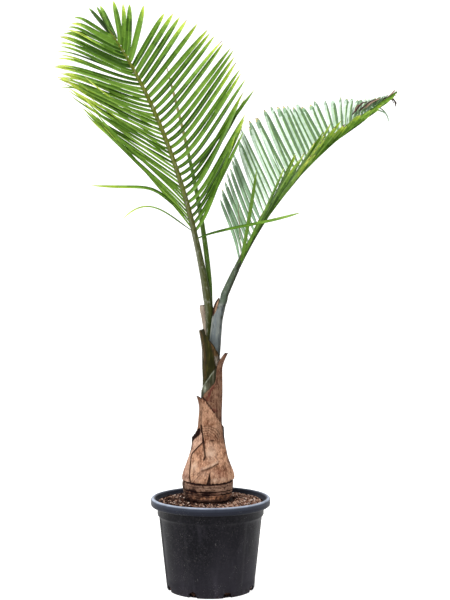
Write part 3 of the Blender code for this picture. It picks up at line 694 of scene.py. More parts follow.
# Old bark: brown with dark pits, pale flecks and fine upright fibres; stored values make it tan or orange, and
# dark in its stains and where shade is painted on it
def ringedBark():
    colours = trunk["colours"]
    finish = Finish("ringedBark", (0.16, 0.09, 0.055), 0.85, Specular_IOR_Level=0.05)
    fibre = finish.noise(55.0, (1.0, 1.0, 6.0), 4.0, 0.6)
    blotch = finish.noise(34.0, (1.0, 1.0, 1.4))
    pits = finish.noise(210.0, detail=4.0).step(0.52, 0.64)
    flecks = finish.noise(260.0, (1.0, 1.0, 1.6), 4.0).step(0.56, 0.66)
    patches = finish.noise(75.0, (1.0, 1.0, 0.8), 4.0).step(0.44, 0.56)
    worn = finish.noise(190.0, (1.0, 1.0, 1.5), 4.0, 0.7).step(0.38, 0.56) * 0.75
    brown = finish.mix(blotch.step(0.4, 0.6), colours["deep"], colours["brown"])
    brown = finish.mix(fibre.step(0.52, 0.68) * 0.6, brown, colours["fibre"])
    brown = finish.mix(pits * 0.8, brown, colours["pit"])
    brown = finish.mix(flecks * 0.45, brown, colours["fleck"])
    brown = finish.mix(finish.stored("tan") * worn, brown, colours["tan"])
    warm = finish.mix(finish.stored("orange") * patches, brown, colours["orange"])
    finish.feed("Base Color", finish.mix(finish.stored("dark").within(), warm, colours["dark"]))
    finish.feed("Roughness", (fibre * 0.25 + 0.68).within())
    finish.bump(fibre + finish.noise(190.0), 0.0012, 0.7)
    return finish.material


# Turned foot: the profile's radius at each height, read a little higher or lower round the column so that the
# rings run unevenly, less a groove under each ring and fine upright fibres. It is dark in its stains, and
# painted dark as shade in its grooves, as a shadow where it meets the soil and as the shadow of the hem above
# it.
def buildTrunk():
    t = trunk
    fine = np.arange(t["base"], t["fineUpTo"], t["finestRow"])
    z = np.concatenate((fine, np.linspace(t["fineUpTo"], t["top"], t["coarseRows"])))[:, None]
    front = around(t["turns"])[None, :]
    wobble = t["ringWobble"] * unevenness(front, 0.0 * z, 21, roundest=22, waves=24)
    wobble = wobble * smoothStep(z, t["base"], t["base"] + t["wobbleOver"])
    height = np.clip(z - t["base"] + wobble, 0.0, None)
    near = np.zeros(np.broadcast(front, z).shape)
    for ring, strength in t["rings"]:
        near = np.maximum(near, strength * np.clip(1.0 - np.abs(height - ring) / t["grooveHalf"], 0.0, 1.0))
    patchy = smoothStep(unevenness(front, z, 22, roundest=14, closest=160.0), -0.9, 0.6)
    radius = alongTable(height, t["profile"]) - t["grooveDeep"] * near * (0.35 + 0.65 * patchy)
    radius = radius + relief(front, z, t["relief"])
    level = z - hemRise(front)
    shadow = smoothStep(level, *t["shadowOver"]) * (1.0 - 0.45 * smoothStep(level, *t["shadowFades"]))
    shadow = shadow * (1.0 - spots(front, z, t["shadowLess"]))
    tan = smoothStep(z, *t["tanOver"]) * smoothStep(level, *t["tanUpTo"])
    tan = tan * (1.0 - spots(front, z, t["tanLess"])) + regions(front, z, t["tanMore"])
    # painted shadow on the foot where it meets the soil
    darkened = smoothStep(z - t["base"], *t["shadedOver"])
    ragged = 0.5 + 0.5 * np.tanh(2.0 * unevenness(front, z, 25, roundest=30, closest=400.0))
    # painted shade in the grooves, and the painted shadows of the hem and the soil
    dark = 0.98 * near ** 0.6 * (0.7 + 0.3 * patchy) + 0.95 * shadow + 0.9 * darkened
    dark = dark + 0.85 * spots(front, z, t["stains"]) * ragged
    stored = {"dark": np.clip(dark, 0.0, 1.0), "orange": spots(front, z, t["orange"]), "tan": tan}
    addPiece("ringedFoot", onColumn(front, radius, z), tubeFaces(len(z), t["turns"]), [ringedBark()],
             ["trunk"], 70.0, stored=stored)


buildTrunk()
print("stage: sheaths")


# A wall round the column, closed over its rim and under its hem: up its outer side row by row from the low
# edge to the high one, then down its inner side, which lies the wall's thickness inside. Where it is given,
# turned moves its points round the column.
def wallPoints(front, low, high, outer, thick, rows, turned):
    share = np.linspace(0.0, 1.0, rows)[:, None]
    z = low(front) + (high(front) - low(front)) * share
    front = turned(front, z) if turned else front + 0.0 * z
    radius = outer(front, z)
    outside = onColumn(front, radius, z)
    inside = onColumn(front, radius - thick, z)
    return np.concatenate((outside, inside[::-1])), z, radius, front


# Both sides of a wall take the same stored value
def bothSides(value):
    return np.concatenate((value, value[::-1]))


# A wall goes all the way round, or only from one turn to another where turned is given
def buildWall(name, spec, low, high, outer, shade, finish, node, turned=None):
    rows, count = spec["rows"], spec["turns"]
    front = np.linspace(spec["from"], spec["to"], count) if turned else around(count)
    points, z, radius, front = wallPoints(front[None, :], low, high, outer, spec["thick"], rows, turned)
    faces = gridFaces(2 * rows, count, closeRows=True, closeColumns=not turned)
    if turned:
        level = np.arange(rows - 1)
        for edge in (0, count - 1):
            ring = (level, level + 1, 2 * rows - 2 - level, 2 * rows - 1 - level)
            faces += (np.stack(ring, axis=-1) * count + edge).tolist()
    shades = shade(front, z, radius, np.linspace(0.0, 1.0, rows)[:, None] + 0.0 * z)
    stored = {key: bothSides(np.clip(value, 0.0, 1.0)) for key, value in shades.items()}
    addPiece(name, points, faces, [finish], [node], 55.0, stored=stored)


def slantedRim(front, middle, half, highSide):
    return middle + half * np.cos(np.radians(front - highSide))


# Leans a rim outwards over the last of its height
def flare(z, start, over, reach):
    return reach * np.clip((z - start) / over, 0.0, None) ** 1.5


# An upright ridge at one turn, or a groove where high is below nothing, which fades in with height
def keel(front, z, turn, wide, start, end, high):
    return high * np.exp(-(turnFrom(front, turn) / wide) ** 2) * smoothStep(z, start, end)


# Papery dry sheath: a base colour in broad blotches, darker in mottles, flecks and fine upright fibres, with
# pale flecks between; stored values darken it with painted shade and with its own dark marks, redden stained
# places, and pale worn places and painted highlights
def dryPaper(name, light, mid, deep, worn=None, fibres=0.65):
    finish = Finish(name, mid, 0.78, Specular_IOR_Level=0.05)
    fibre = finish.noise(42.0, (5.0, 5.0, 0.55), 5.0, 0.62)
    blotch = finish.noise(24.0, (1.0, 1.0, 1.3), 4.0)
    mottle = finish.noise(95.0, (1.0, 1.0, 0.8))
    fleck = finish.noise(240.0, (1.0, 1.0, 0.5), 4.0, 0.7)
    colour = finish.mix(blotch.step(0.4, 0.58), mid, light)
    colour = finish.mix(mottle.step(0.5, 0.64) * 0.66, colour, deep)
    colour = finish.mix(fibre.step(0.49, 0.62) * fibres, colour, deep)
    colour = finish.mix(fleck.step(0.53, 0.66) * 0.5, colour, deep)
    colour = finish.mix(fleck.step(0.48, 0.36) * 0.62, colour, shadeOf(light, 1.55))
    # pale at worn places and at painted highlights
    wornAndLit = finish.stored("pale") * (mottle.step(0.62, 0.44) * 0.45 + 0.5)
    colour = finish.mix(wornAndLit, colour, worn or shadeOf(light, 1.3))
    colour = finish.mix(finish.stored("red") * mottle.step(0.3, 0.55), colour, (0.12, 0.03, 0.022))
    finish.feed("Base Color", finish.mix(finish.stored("dark"), colour, (0.012, 0.004, 0.003)))
    finish.feed("Roughness", (fibre * 0.3 + 0.6).within())
    finish.bump(fibre + mottle * 0.5 + fleck * 0.3, 0.0014, 0.75)
    return finish.material


# Living sheath: waxy green with paler upright veins, dark in patches; stored values dry its margin brown, leave
# pale scraps and a painted highlight on it and darken its edges
def waxyGreen(name, green, pale, brown, scraps):
    finish = Finish(name, green, 0.55, Specular_IOR_Level=0.08)
    vein = finish.noise(52.0, (4.0, 4.0, 0.35), 4.0, 0.6)
    bloom = finish.noise(60.0, (1.0, 1.0, 0.5), 4.0)
    shred = finish.noise(150.0, (1.6, 1.6, 0.5), 4.0, 0.7).step(0.44, 0.6)
    colour = finish.mix(vein.step(0.46, 0.62) * 0.7, green, pale)
    colour = finish.mix(bloom.step(0.5, 0.64) * 0.55, colour, shadeOf(green, 0.4))
    dried = finish.mix(shred, shadeOf(brown, 0.4), shadeOf(brown, 1.2))
    colour = finish.mix(finish.stored("brown"), colour, dried)
    colour = finish.mix(finish.stored("pale") * (shred * 0.7 + 0.3), colour, scraps)
    finish.feed("Base Color", finish.mix(finish.stored("dark"), colour, (0.02, 0.016, 0.008)))
    finish.feed("Roughness", (vein * 0.25 + 0.45).within())
    finish.bump(vein, 0.0006, 0.5)
    return finish.material


lowerSheath = {
    "turns": 360,
    "rows": 100,
    "thick": 0.0016,
    "hemZ": 0.3062,
    "hemTeeth": (0.00091, 31, 40, 30),
    "rimTeeth": (0.0011, 32, 40, 30),
    "relief": ((0.0008, 33, 7, 55.0, 16), (0.00038, 34, 46, 30.0, 28)),
    "radius": ((0.307, 0.0732), (0.313, 0.0736), (0.321, 0.0732), (0.334, 0.0695), (0.348, 0.0643),
               (0.363, 0.059), (0.38, 0.0534), (0.4, 0.048), (0.43, 0.0405), (0.46, 0.0362),
               (0.5, 0.0341), (0.56, 0.0338)),
    "rim": (0.502, 0.045, -75.0),
    "flare": (0.508, 0.037, 0.0095),
    "slit": (4.6, 8.5, 1.2, 0.036),   # turn, width to its left and right, height of the slit in the hem
    "fold": ((-16.0, 0.344), (2.0, 0.35), (27.0, 0.3625)),
    # cracks between its layers, as (turn, height)
    "cracks": (
        ((-24.0, 0.421), (-45.0, 0.4), (-66.0, 0.3825)),
        ((-66.0, 0.3825), (-57.6, 0.3616), (-49.5, 0.335), (-44.6, 0.3134), (-44.0, 0.306)),
        ((-48.5, 0.464), (-38.0, 0.448), (-26.0, 0.4294), (-19.0, 0.415), (-11.5, 0.3876), (-9.2, 0.38),
         (-12.8, 0.3715)),
    ),
    "crackHalf": 0.0036,
    "crackDeep": 0.0026,
    "pleats": (((-40.0, 0.312), (-17.0, 0.344)), ((-35.0, 0.311), (-12.0, 0.34)),
               ((-46.0, 0.33), (-22.0, 0.335)), ((-8.0, 0.328), (-3.0, 0.348)),
               ((-44.0, 0.522), (-47.0, 0.5), (-48.0, 0.464))),
    # wrinkles round the neck: each an arc of (turn, height)
    "wrinkles": (((-34.0, 0.462), (-5.0, 0.465), (24.0, 0.456), (50.0, 0.438)),
                 ((-34.0, 0.456), (-6.0, 0.4585), (22.0, 0.449), (44.0, 0.43)),
                 ((-30.0, 0.449), (-6.0, 0.452), (18.0, 0.443), (36.0, 0.427)),
                 ((-28.0, 0.4425), (-6.0, 0.445), (14.0, 0.437), (26.0, 0.425)),
                 ((2.0, 0.425), (12.0, 0.4262), (20.0, 0.4235)),
                 ((-20.0, 0.436), (-8.0, 0.4375), (4.0, 0.434))),
    "wrinkleDeep": 0.001,
    "foldHigh": 0.0042,
    "pleatHigh": 0.0012,
    # the layer at the right lies over the one at the left
    "layer": ((0.0009, ((-26.0, -23.0), (138.0, 108.0)), ((0.374, 0.39),)),),
    # spots and regions of its stored values
    "dark": ((0.75, 10.0, 0.423, 9.0, 0.0022), (0.45, 44.0, 0.35, 8.0, 0.01)),
    # painted shade on its right side, its left side and its neck, then a darker strip at the left
    "darkOver": ((0.75, ((56.0, 80.0),), ((0.335, 0.365),)), (0.3, ((-100.0, -140.0),), ()),
                 (0.22, (), ((0.405, 0.43),)), (0.3, ((-40.0, -50.0),), ((0.44, 0.47),))),
    "streaked": ((0.3, ((20.0, 34.0),), ((0.385, 0.41),)),),
    "red": ((0.55, 30.0, 0.334, 15.0, 0.011), (0.4, 8.0, 0.338, 7.0, 0.013),
            (0.55, -78.0, 0.53, 22.0, 0.02), (0.35, -16.0, 0.345, 5.0, 0.012),
            (0.45, -35.0, 0.312, 12.0, 0.006)),
    # the last of these is a painted highlight near the hem
    "pale": ((0.85, 7.0, 0.391, 17.0, 0.021), (0.9, -39.0, 0.352, 9.0, 0.011),
             (0.3, -14.0, 0.334, 34.0, 0.01)),
    "patchyPale": ((0.85, 10.0, 0.316, 45.0, 0.0065),),
    "paper": {"light": (0.535, 0.302, 0.19), "mid": (0.345, 0.168, 0.1), "deep": (0.11, 0.04, 0.021),
              "worn": (0.61, 0.43, 0.32), "fibres": 0.42},
}


def lowerHem(front):
    turn, left, right, height = lowerSheath["slit"]
    off = turnFrom(front, turn)
    slit = np.clip(1.0 - np.where(off < 0.0, -off / left, off / right), 0.0, 1.0)
    return lowerSheath["hemZ"] + teeth(front, *lowerSheath["hemTeeth"]) + hemRise(front) + height * slit


def lowerRim(front):
    return slantedRim(front, *lowerSheath["rim"]) + teeth(front, *lowerSheath["rimTeeth"])


# The layer above the fold line lies over the one below: 1 just above the line, fading out upwards and to its
# ends
def foldRaise(front, z):
    knots = lowerSheath["fold"]
    first, last = knots[0][0], knots[-1][0]
    above = z - np.interp(front, [knot[0] for knot in knots], [knot[1] for knot in knots])
    ends = smoothStep(front, first - 6.0, first + 6.0) * smoothStep(front, last + 6.0, last - 4.0)
    return smoothStep(above, -0.0012, 0.0008) * np.exp(-np.clip(above, 0.0, None) / 0.022) * ends


# The lower sheath's outside: its table of radii, leaned out at the high side of its rim, with slow dents,
# upright pleats, one slanting fold, and cracks where its layers end
def lowerOuter(front, z):
    s = lowerSheath
    radius = alongTable(z, s["radius"])
    highSide = np.exp(-(turnFrom(front, s["rim"][2]) / 30.0) ** 2)
    shape = radius + flare(z, *s["flare"]) * highSide
    shape = shape + relief(front, z, s["relief"])
    for wrinkle in s["wrinkles"]:
        shape = shape - s["wrinkleDeep"] * nearLine(front, z, radius, wrinkle, 0.0018)
    shape = shape + s["foldHigh"] * foldRaise(front, z)
    for pleat in s["pleats"]:
        shape = shape + s["pleatHigh"] * nearLine(front, z, radius, pleat, 0.003)
    shape = shape + regions(front, z, s["layer"])
    for crack in s["cracks"]:
        shape = shape - s["crackDeep"] * nearLine(front, z, radius, crack, s["crackHalf"]) ** 0.7
    return shape


# Stored values of the lower sheath: painted shade in its cracks and wrinkles, under its pleats and its fold, at
# its hem and on its sides and neck; dark at its rim and in its own marks, streaks and a strip at the left; red
# stains; pale worn places, and painted highlights along the top of the fold and near the hem
def lowerShade(front, z, radius, share):
    s = lowerSheath
    # painted shade in the cracks, under the pleats, in the wrinkles and under the fold
    lines = [nearLine(front, z, radius, crack, 1.15 * s["crackHalf"]) ** 0.6 for crack in s["cracks"]]
    lines += [0.5 * nearLine(front, z + 0.0014, radius, pleat, 0.0016) for pleat in s["pleats"]]
    lines += [0.6 * nearLine(front, z, radius, wrinkle, 0.0017) for wrinkle in s["wrinkles"]]
    lines.append(0.7 * nearLine(front, z + 0.003, radius, s["fold"], 0.0038))
    hem, rim = lowerHem(front), lowerRim(front)
    # painted shade along the hem's lower edge; darker along the rim
    edges = 0.75 * smoothStep(z, hem + 0.0016, hem) + 0.5 * smoothStep(z, rim - 0.0035, rim)
    streaky = 0.5 + 0.5 * np.cos(np.radians(front) * 36.0 + 3.0 * unevenness(front, z, 36, 5, 25.0))
    dark = np.maximum.reduce(lines) + edges + regions(front, z, s["darkOver"]) + spots(front, z, s["dark"])
    dark = dark + regions(front, z, s["streaked"]) * streaky
    patchy = 0.5 + 0.5 * unevenness(front, z, 37, 20, 90.0)
    pale = spots(front, z, s["pale"]) + spots(front, z, s["patchyPale"]) * patchy
    # painted highlight along the top of the fold
    pale = pale + 0.7 * nearLine(front, z - 0.0035, radius, s["fold"], 0.006)
    return {"dark": dark, "red": spots(front, z, s["red"]), "pale": pale}


upperSheath = {
    "turns": 240,
    "rows": 90,
    "thick": 0.0013,
    "lowZ": 0.43,
    "radius": ((0.43, 0.033), (0.46, 0.0331), (0.5, 0.0316), (0.67, 0.0306)),
    "leafSide": 67.5,
    # its rim: degrees from the leaf's side, height
    "rim": ((0.0, 15.0, 24.5, 34.0, 39.5, 43.0, 52.0, 75.0, 96.0, 130.0, 180.0),
            (0.67, 0.669, 0.657, 0.644, 0.622, 0.596, 0.584, 0.571, 0.5595, 0.54, 0.527)),
    "rimTeeth": (0.0009, 41, 34, 30),
    "relief": ((0.0005, 42, 6, 45.0, 16), (0.0003, 43, 40, 25.0, 28)),
    "flare": (0.622, 0.047, 0.018),
    "keel": (67.5, 9.0, 0.5, 0.62, 0.0008),
    # the second region is painted shade on its right side
    "darkOver": ((0.4, (), ((0.66, 0.668),)), (0.45, ((62.0, 88.0), (179.0, 150.0)), ())),
    "redLine": ((10.0, 0.578), (-14.0, 0.546)),
    "red": ((0.9, -22.0, 0.537, 12.0, 0.006), (0.7, 18.0, 0.508, 14.0, 0.01), (0.4, 60.0, 0.655, 9.0, 0.012)),
    "pale": ((0.35, 24.0, 0.56, 10.0, 0.045),),
    "paper": {"light": (0.205, 0.112, 0.07), "mid": (0.13, 0.061, 0.036), "deep": (0.048, 0.017, 0.011)},
}


def upperRim(front):
    off = np.abs(turnFrom(front, upperSheath["leafSide"]))
    return np.interp(off, *upperSheath["rim"]) + teeth(front, *upperSheath["rimTeeth"])


# Its table of radii with slow dents, fine upright pleats, a keel down from the stub, and the stub leaned out
def upperOuter(front, z):
    s = upperSheath
    shape = alongTable(z, s["radius"]) + flare(z, *s["flare"]) + keel(front, z, *s["keel"])
    return shape + relief(front, z, s["relief"])


# Stored values of the upper sheath: dark at the rim and on the stub's end, painted shade at the right and a
# painted shadow just above the lower rim, red along a slanting line, and a painted highlight below the rim at
# the front
def upperShade(front, z, radius, share):
    s = upperSheath
    below = upperRim(front) - z
    dark = 0.45 * smoothStep(below, 0.003, 0.0) + regions(front, z, s["darkOver"])
    # painted shadow of the lower sheath's rim, just above it
    dark = dark + 0.8 * smoothStep(z - lowerRim(front), 0.0065, 0.0015)
    red = 1.3 * nearLine(front, z, radius, s["redLine"], 0.0045) + spots(front, z, s["red"])
    # painted highlight in a band below the rim at the front
    edge = smoothStep(below, 0.0085, 0.003) * smoothStep(below, 0.0, 0.0025) * smoothStep(front, 60.0, 20.0)
    return {"dark": dark, "red": red, "pale": spots(front, z, s["pale"]) + 0.65 * edge}


greenSheath = {
    "turns": 200,
    "rows": 60,
    "thick": 0.0013,
    "lowZ": 0.46,
    "radius": ((0.46, 0.0298), (0.5, 0.0289), (0.67, 0.028)),
    "rim": (0.6, 0.04, 70.0),
    "rimTeeth": (0.0006, 51, 26, 26),
    "relief": ((0.0004, 52, 6, 40.0, 16), (0.00025, 53, 40, 20.0, 28)),
    "dark": ((0.7, ((8.0, 24.0), (70.0, 45.0)), ()),),
    "shreds": ((0.8, -42.0, 0.568, 12.0, 0.01),),
    "brown": ((0.45, 10.0, 0.575, 22.0, 0.01),),
    "wax": {"green": (0.034, 0.036, 0.016), "pale": (0.12, 0.11, 0.08), "brown": (0.08, 0.045, 0.027),
            "scraps": (0.46, 0.49, 0.38)},
}


def greenRim(front):
    return slantedRim(front, *greenSheath["rim"]) + teeth(front, *greenSheath["rimTeeth"])


def greenOuter(front, z):
    return alongTable(z, greenSheath["radius"]) + relief(front, z, greenSheath["relief"])


# Stored values of the green sheath: dark at its rim and at the right, and a painted highlight in a band below
# the rim at the left
def greenShade(front, z, radius, share):
    s = greenSheath
    below = greenRim(front) - z
    # painted highlight in a band below the rim at the left
    rimHighlight = smoothStep(below, 0.0, 0.0025) * smoothStep(below, 0.0085, 0.0045) * smoothStep(front, 24.0, 8.0)
    return {"dark": 0.5 * smoothStep(below, 0.002, 0.0) + regions(front, z, s["dark"]),
            "pale": 0.5 * rimHighlight + spots(front, z, s["shreds"]), "brown": spots(front, z, s["brown"])}


oldSheath = {
    "turns": 200,
    "rows": 90,
    "thick": 0.0013,
    "lowZ": 0.5,
    "radius": ((0.5, 0.0262), (0.74, 0.0252)),
    # its rim: turn, height
    "rim": ((-180.0, -140.0, -112.0, -95.0, -34.0, -30.0, -15.0, 8.0, 32.0, 60.0, 85.0, 120.0, 180.0),
            (0.635, 0.645, 0.69, 0.731, 0.739, 0.723, 0.711, 0.696, 0.68, 0.662, 0.65, 0.64,
             0.635)),
    # the line to the right of which its margin has dried brown
    "dried": ((-40.0, -15.0, 17.0, 27.0, 60.0), (0.75, 0.708, 0.6577, 0.628, 0.56)),
    "rimTeeth": (0.0007, 61, 24, 26),
    "relief": ((0.0003, 62, 7, 35.0, 16), (0.00022, 63, 44, 20.0, 28)),
    "flare": (0.672, 0.063, 0.0084),
    "bulge": (0.595, 0.03, 0.0018),
    "keel": (-52.0, 7.0, 0.6, 0.66, -0.0007),
    # lines on it, each of (turn, height), and spots
    "brownStripe": ((-62.0, 0.734), (-52.0, 0.7), (-44.0, 0.66), (-44.0, 0.6)),
    "driedEdge": ((-16.0, 0.712), (17.0, 0.66), (27.0, 0.63)),
    "seam": ((-40.0, 0.735), (-32.0, 0.7), (-34.0, 0.655), (-44.0, 0.62)),
    "paleLine": ((-78.0, 0.73), (-66.0, 0.69), (-62.0, 0.65)),
    "dark": ((0.45, 14.0, 0.61, 16.0, 0.022), (0.35, -75.0, 0.6, 12.0, 0.04)),
    "wax": {"green": (0.022, 0.021, 0.003), "pale": (0.06, 0.052, 0.01), "brown": (0.092, 0.052, 0.02),
            "scraps": (0.5, 0.42, 0.36)},
}


def oldRim(front):
    return np.interp(front, *oldSheath["rim"]) + teeth(front, *oldSheath["rimTeeth"])


# Its table of radii, bulging to the left above the green sheath and leaned out below the cut stub
def oldOuter(front, z):
    s = oldSheath
    start, over, reach = s["bulge"]
    left = np.clip(-np.sin(np.radians(front)), 0.0, None)
    shape = alongTable(z, s["radius"]) + flare(z, *s["flare"]) + keel(front, z, *s["keel"])
    return shape + left * reach * np.clip((z - start) / over, 0.0, 1.0) + relief(front, z, s["relief"])


# Stored values of the old sheath: brown past the dried line but for a pale scrap, pale on the cut at the
# left, and dark along the rim, the dried line and a seam
def oldShade(front, z, radius, share):
    s = oldSheath
    below = oldRim(front) - z
    past = z - np.interp(front, *s["dried"])
    margin = smoothStep(past, -0.002, 0.005)
    margin = margin * smoothStep(front, 110.0, 70.0) * smoothStep(front, -34.0, -26.0)
    scrap = smoothStep(z, 0.664, 0.654) * smoothStep(z, 0.628, 0.638) * margin
    cut = smoothStep(below, 0.0024, 0.0004) * smoothStep(front, -34.0, -38.0)
    underRim = smoothStep(below, 0.0042, 0.0022)
    underRim = underRim * smoothStep(front, -16.0, -8.0) * smoothStep(front, 80.0, 60.0)
    dark = 0.55 * smoothStep(below, 0.0022, 0.0) + 0.9 * underRim + spots(front, z, s["dark"]) - 0.4 * cut
    dark = dark + 0.75 * nearLine(front, z, radius, s["driedEdge"], 0.0028)
    dark = dark + 0.75 * nearLine(front, z, radius, s["seam"], 0.004)
    pale = 0.5 * nearLine(front, z, radius, s["paleLine"], 0.0045) + 0.6 * cut + 0.8 * scrap
    brown = 0.95 * margin * (1.0 - scrap) + 0.8 * nearLine(front, z, radius, s["brownStripe"], 0.006)
    return {"dark": dark, "pale": pale, "brown": brown}


tornFlap = {
    "turns": 90,
    "rows": 70,
    "thick": 0.0014,
    "from": -120.0,
    "to": -50.0,
    "middle": -87.0,
    "footZ": 0.309,
    "rim": ((-120.0, -100.0, -87.0, -78.0, -66.0, -50.0), (0.412, 0.426, 0.433, 0.439, 0.45, 0.4575)),
    "gap": 0.0015,
    "flare": (0.395, 0.038, 0.009),
    "flareSpread": 26.0,
    "rimTeeth": (0.001, 71, 60, 30),
    "relief": ((0.0004, 72, 10, 60.0, 16), (0.0003, 73, 50, 30.0, 26)),
    # its front edge: (height, turn)
    "front": ((0.309, -45.5), (0.335, -50.5), (0.3616, -58.6), (0.3838, -66.0), (0.402, -46.0),
              (0.42, -25.0), (0.44, -33.0), (0.458, -50.0)),
    "red": ((0.6, -75.0, 0.33, 14.0, 0.012),),
    "pale": ((0.4, -60.0, 0.352, 9.0, 0.02), (0.4, -50.0, 0.405, 12.0, 0.012)),
    # painted shade down its left outline, where it turns away from the light
    "outline": ((0.8, ((-66.0, -78.0),), ((0.375, 0.392),)),),
    "paper": {"light": (0.555, 0.35, 0.255), "mid": (0.395, 0.225, 0.15), "deep": (0.13, 0.05, 0.03)},
}


def flapRim(front):
    return np.interp(front, *tornFlap["rim"]) + teeth(front, *tornFlap["rimTeeth"])


# Stretches the flap's turns so that its front edge follows the crack
def flapTurn(front, z):
    s = tornFlap
    edge = np.interp(z, [row[0] for row in s["front"]], [row[1] for row in s["front"]])
    return s["from"] + (front - s["from"]) / (s["to"] - s["from"]) * (edge - s["from"])


def flapOuter(front, z):
    s = tornFlap
    peel = flare(z, *s["flare"]) * np.exp(-(turnFrom(front, s["middle"]) / s["flareSpread"]) ** 2)
    return alongTable(z, lowerSheath["radius"]) + s["gap"] + peel + relief(front, z, s["relief"])


# Stored values of the flap: dark along its rim at the front, painted shade down its left outline, red and pale
# spots
def flapShade(front, z, radius, share):
    s = tornFlap
    rim = smoothStep(share, 0.87, 0.905) * smoothStep(front, -35.0, -48.0)
    return {"dark": 1.2 * rim + regions(front, z, s["outline"]), "red": spots(front, z, s["red"]),
            "pale": spots(front, z, s["pale"])}


def flat(height):
    return lambda front: height + 0.0 * front


def buildSheaths():
    lower, upper, green, old, flap = lowerSheath, upperSheath, greenSheath, oldSheath, tornFlap
    buildWall("lowerSheathSkin", lower, lowerHem, lowerRim, lowerOuter, lowerShade,
              dryPaper("dryPaperTan", **lower["paper"]), "sheath_lower")
    buildWall("upperSheathSkin", upper, flat(upper["lowZ"]), upperRim, upperOuter, upperShade,
              dryPaper("dryPaperBrown", **upper["paper"]), "sheath_upper")
    buildWall("greenSheathSkin", green, flat(green["lowZ"]), greenRim, greenOuter, greenShade,
              waxyGreen("greyGreenWax", **green["wax"]), "sheath_green")
    buildWall("oldSheathSkin", old, flat(old["lowZ"]), oldRim, oldOuter, oldShade,
              waxyGreen("oliveWax", **old["wax"]), "sheath_old")
    buildWall("tornFlapSkin", flap, flat(flap["footZ"]), flapRim, flapOuter, flapShade,
              dryPaper("dryPaperFlap", **flap["paper"]), "sheath_flap", flapTurn)


buildSheaths()
print("stage: stalks")

# The axes of the leaves: four points of a cubic curve each, radii along them, and their feet inside the crown
stalks = {
    "leftAxis": ((-0.0033, 0.0, 0.7857), (-0.0437, 0.0, 1.0608), (-0.1319, 0.06, 1.3711),
                 (-0.3065, 0.14, 1.6268)),
    "rightAxis": ((0.0196, 0.0, 0.7857), (0.1404, 0.0, 1.087), (0.2639, -0.03, 1.2211),
                  (0.5193, -0.08, 1.3984)),
    "spearAxis": ((-0.0007, 0.018, 0.82), (-0.0139, 0.025, 1.0513), (-0.0729, 0.15, 1.2895),
                  (-0.1393, 0.23, 1.54)),
    "leftLeafyFrom": 0.222,
    "rightLeafyFrom": 0.165,
    "rightAxisFrom": 0.066,
    "rachis": ((0.1, 0.17, 0.5, 0.8, 1.0), (0.01, 0.0088, 0.0066, 0.0054, 0.003)),
    "leftPetiole": ((0.0, 0.045, 0.1, 0.222), (0.0118, 0.0122, 0.0102, 0.0085)),
    "rightPetiole": ((0.0, 0.07, 0.11, 0.165), (0.0118, 0.011, 0.0103, 0.0092)),
    "spear": ((0.0, 0.06, 0.2, 0.55, 0.9, 1.0), (0.0056, 0.0074, 0.0072, 0.005, 0.0036, 0.001)),
    "rightFoot": ((0.005, -0.003, 0.626, 0.016), (0.0085, -0.0035, 0.648, 0.0165),
                  (0.0115, -0.004, 0.68, 0.0168), (0.0145, -0.004, 0.72, 0.0165),
                  (0.017, -0.0038, 0.745, 0.016), (0.0195, -0.0033, 0.768, 0.0158),
                  (0.0245, -0.0022, 0.788, 0.0152), (0.03, -0.0012, 0.806, 0.0137),
                  (0.037, -0.0003, 0.82, 0.0112)),
    "leftFoot": ((-0.0045, 0.004, 0.65, 0.006), (-0.005, 0.0035, 0.7, 0.0074),
                 (-0.0055, 0.003, 0.735, 0.0082), (-0.005, 0.0015, 0.76, 0.0096)),
    "spearFoot": ((0.005, 0.0112, 0.67, 0.0032), (0.003, 0.0135, 0.76, 0.0042)),
    "cutStub": ((-0.008, 0.013, 0.66, 0.005), (-0.0115, 0.0136, 0.71, 0.0058),
                (-0.014, 0.014, 0.735, 0.007), (-0.0188, 0.0155, 0.775, 0.0086),
                (-0.0225, 0.016, 0.7995, 0.0094), (-0.0233, 0.016, 0.806, 0.0074)),
    "leftFace": (0.25, -0.85, 0.45),
    "rightFace": (-0.6, -0.42, 0.68),
    "spearFace": (0.25, -0.85, 0.45),
    "rightPetioleFace": (-0.5, -0.8, 0.3),
    "sides": 28,
    "perMetre": 220,
    # colours from foot to tip, the heights between which each gives way to the next, and the colour of its dark
    # side, which is painted shade
    "waxes": {
        "leftStalkWax": (((0.044, 0.05, 0.01), (0.072, 0.078, 0.026), (0.108, 0.122, 0.018),
                          (0.12, 0.142, 0.006)), (0.76, 0.95, 1.15, 1.4), (0.016, 0.03, 0.002)),
        "rightStalkWax": (((0.13, 0.154, 0.164), (0.085, 0.115, 0.08), (0.05, 0.072, 0.018),
                           (0.03, 0.075, 0.004)), (0.804, 0.812, 0.98, 1.1), (0.014, 0.015, 0.006)),
        "spearWax": (((0.06, 0.115, 0.012), (0.085, 0.17, 0.018), (0.38, 0.33, 0.15),
                      (0.42, 0.33, 0.18)), (0.95, 1.2, 1.36, 1.5), (0.03, 0.055, 0.006)),
    },
    "stubPaper": {"light": (0.35, 0.292, 0.235), "mid": (0.27, 0.218, 0.172), "deep": (0.17, 0.12, 0.088)},
}


# Points of a cubic curve through its two end points, drawn towards the two inner ones
def cubic(control, t):
    c = np.asarray(control, float)
    t = np.asarray(t, float)[:, None]
    return (1 - t) ** 3 * c[0] + 3 * (1 - t) ** 2 * t * c[1] + 3 * (1 - t) * t ** 2 * c[2] + t ** 3 * c[3]


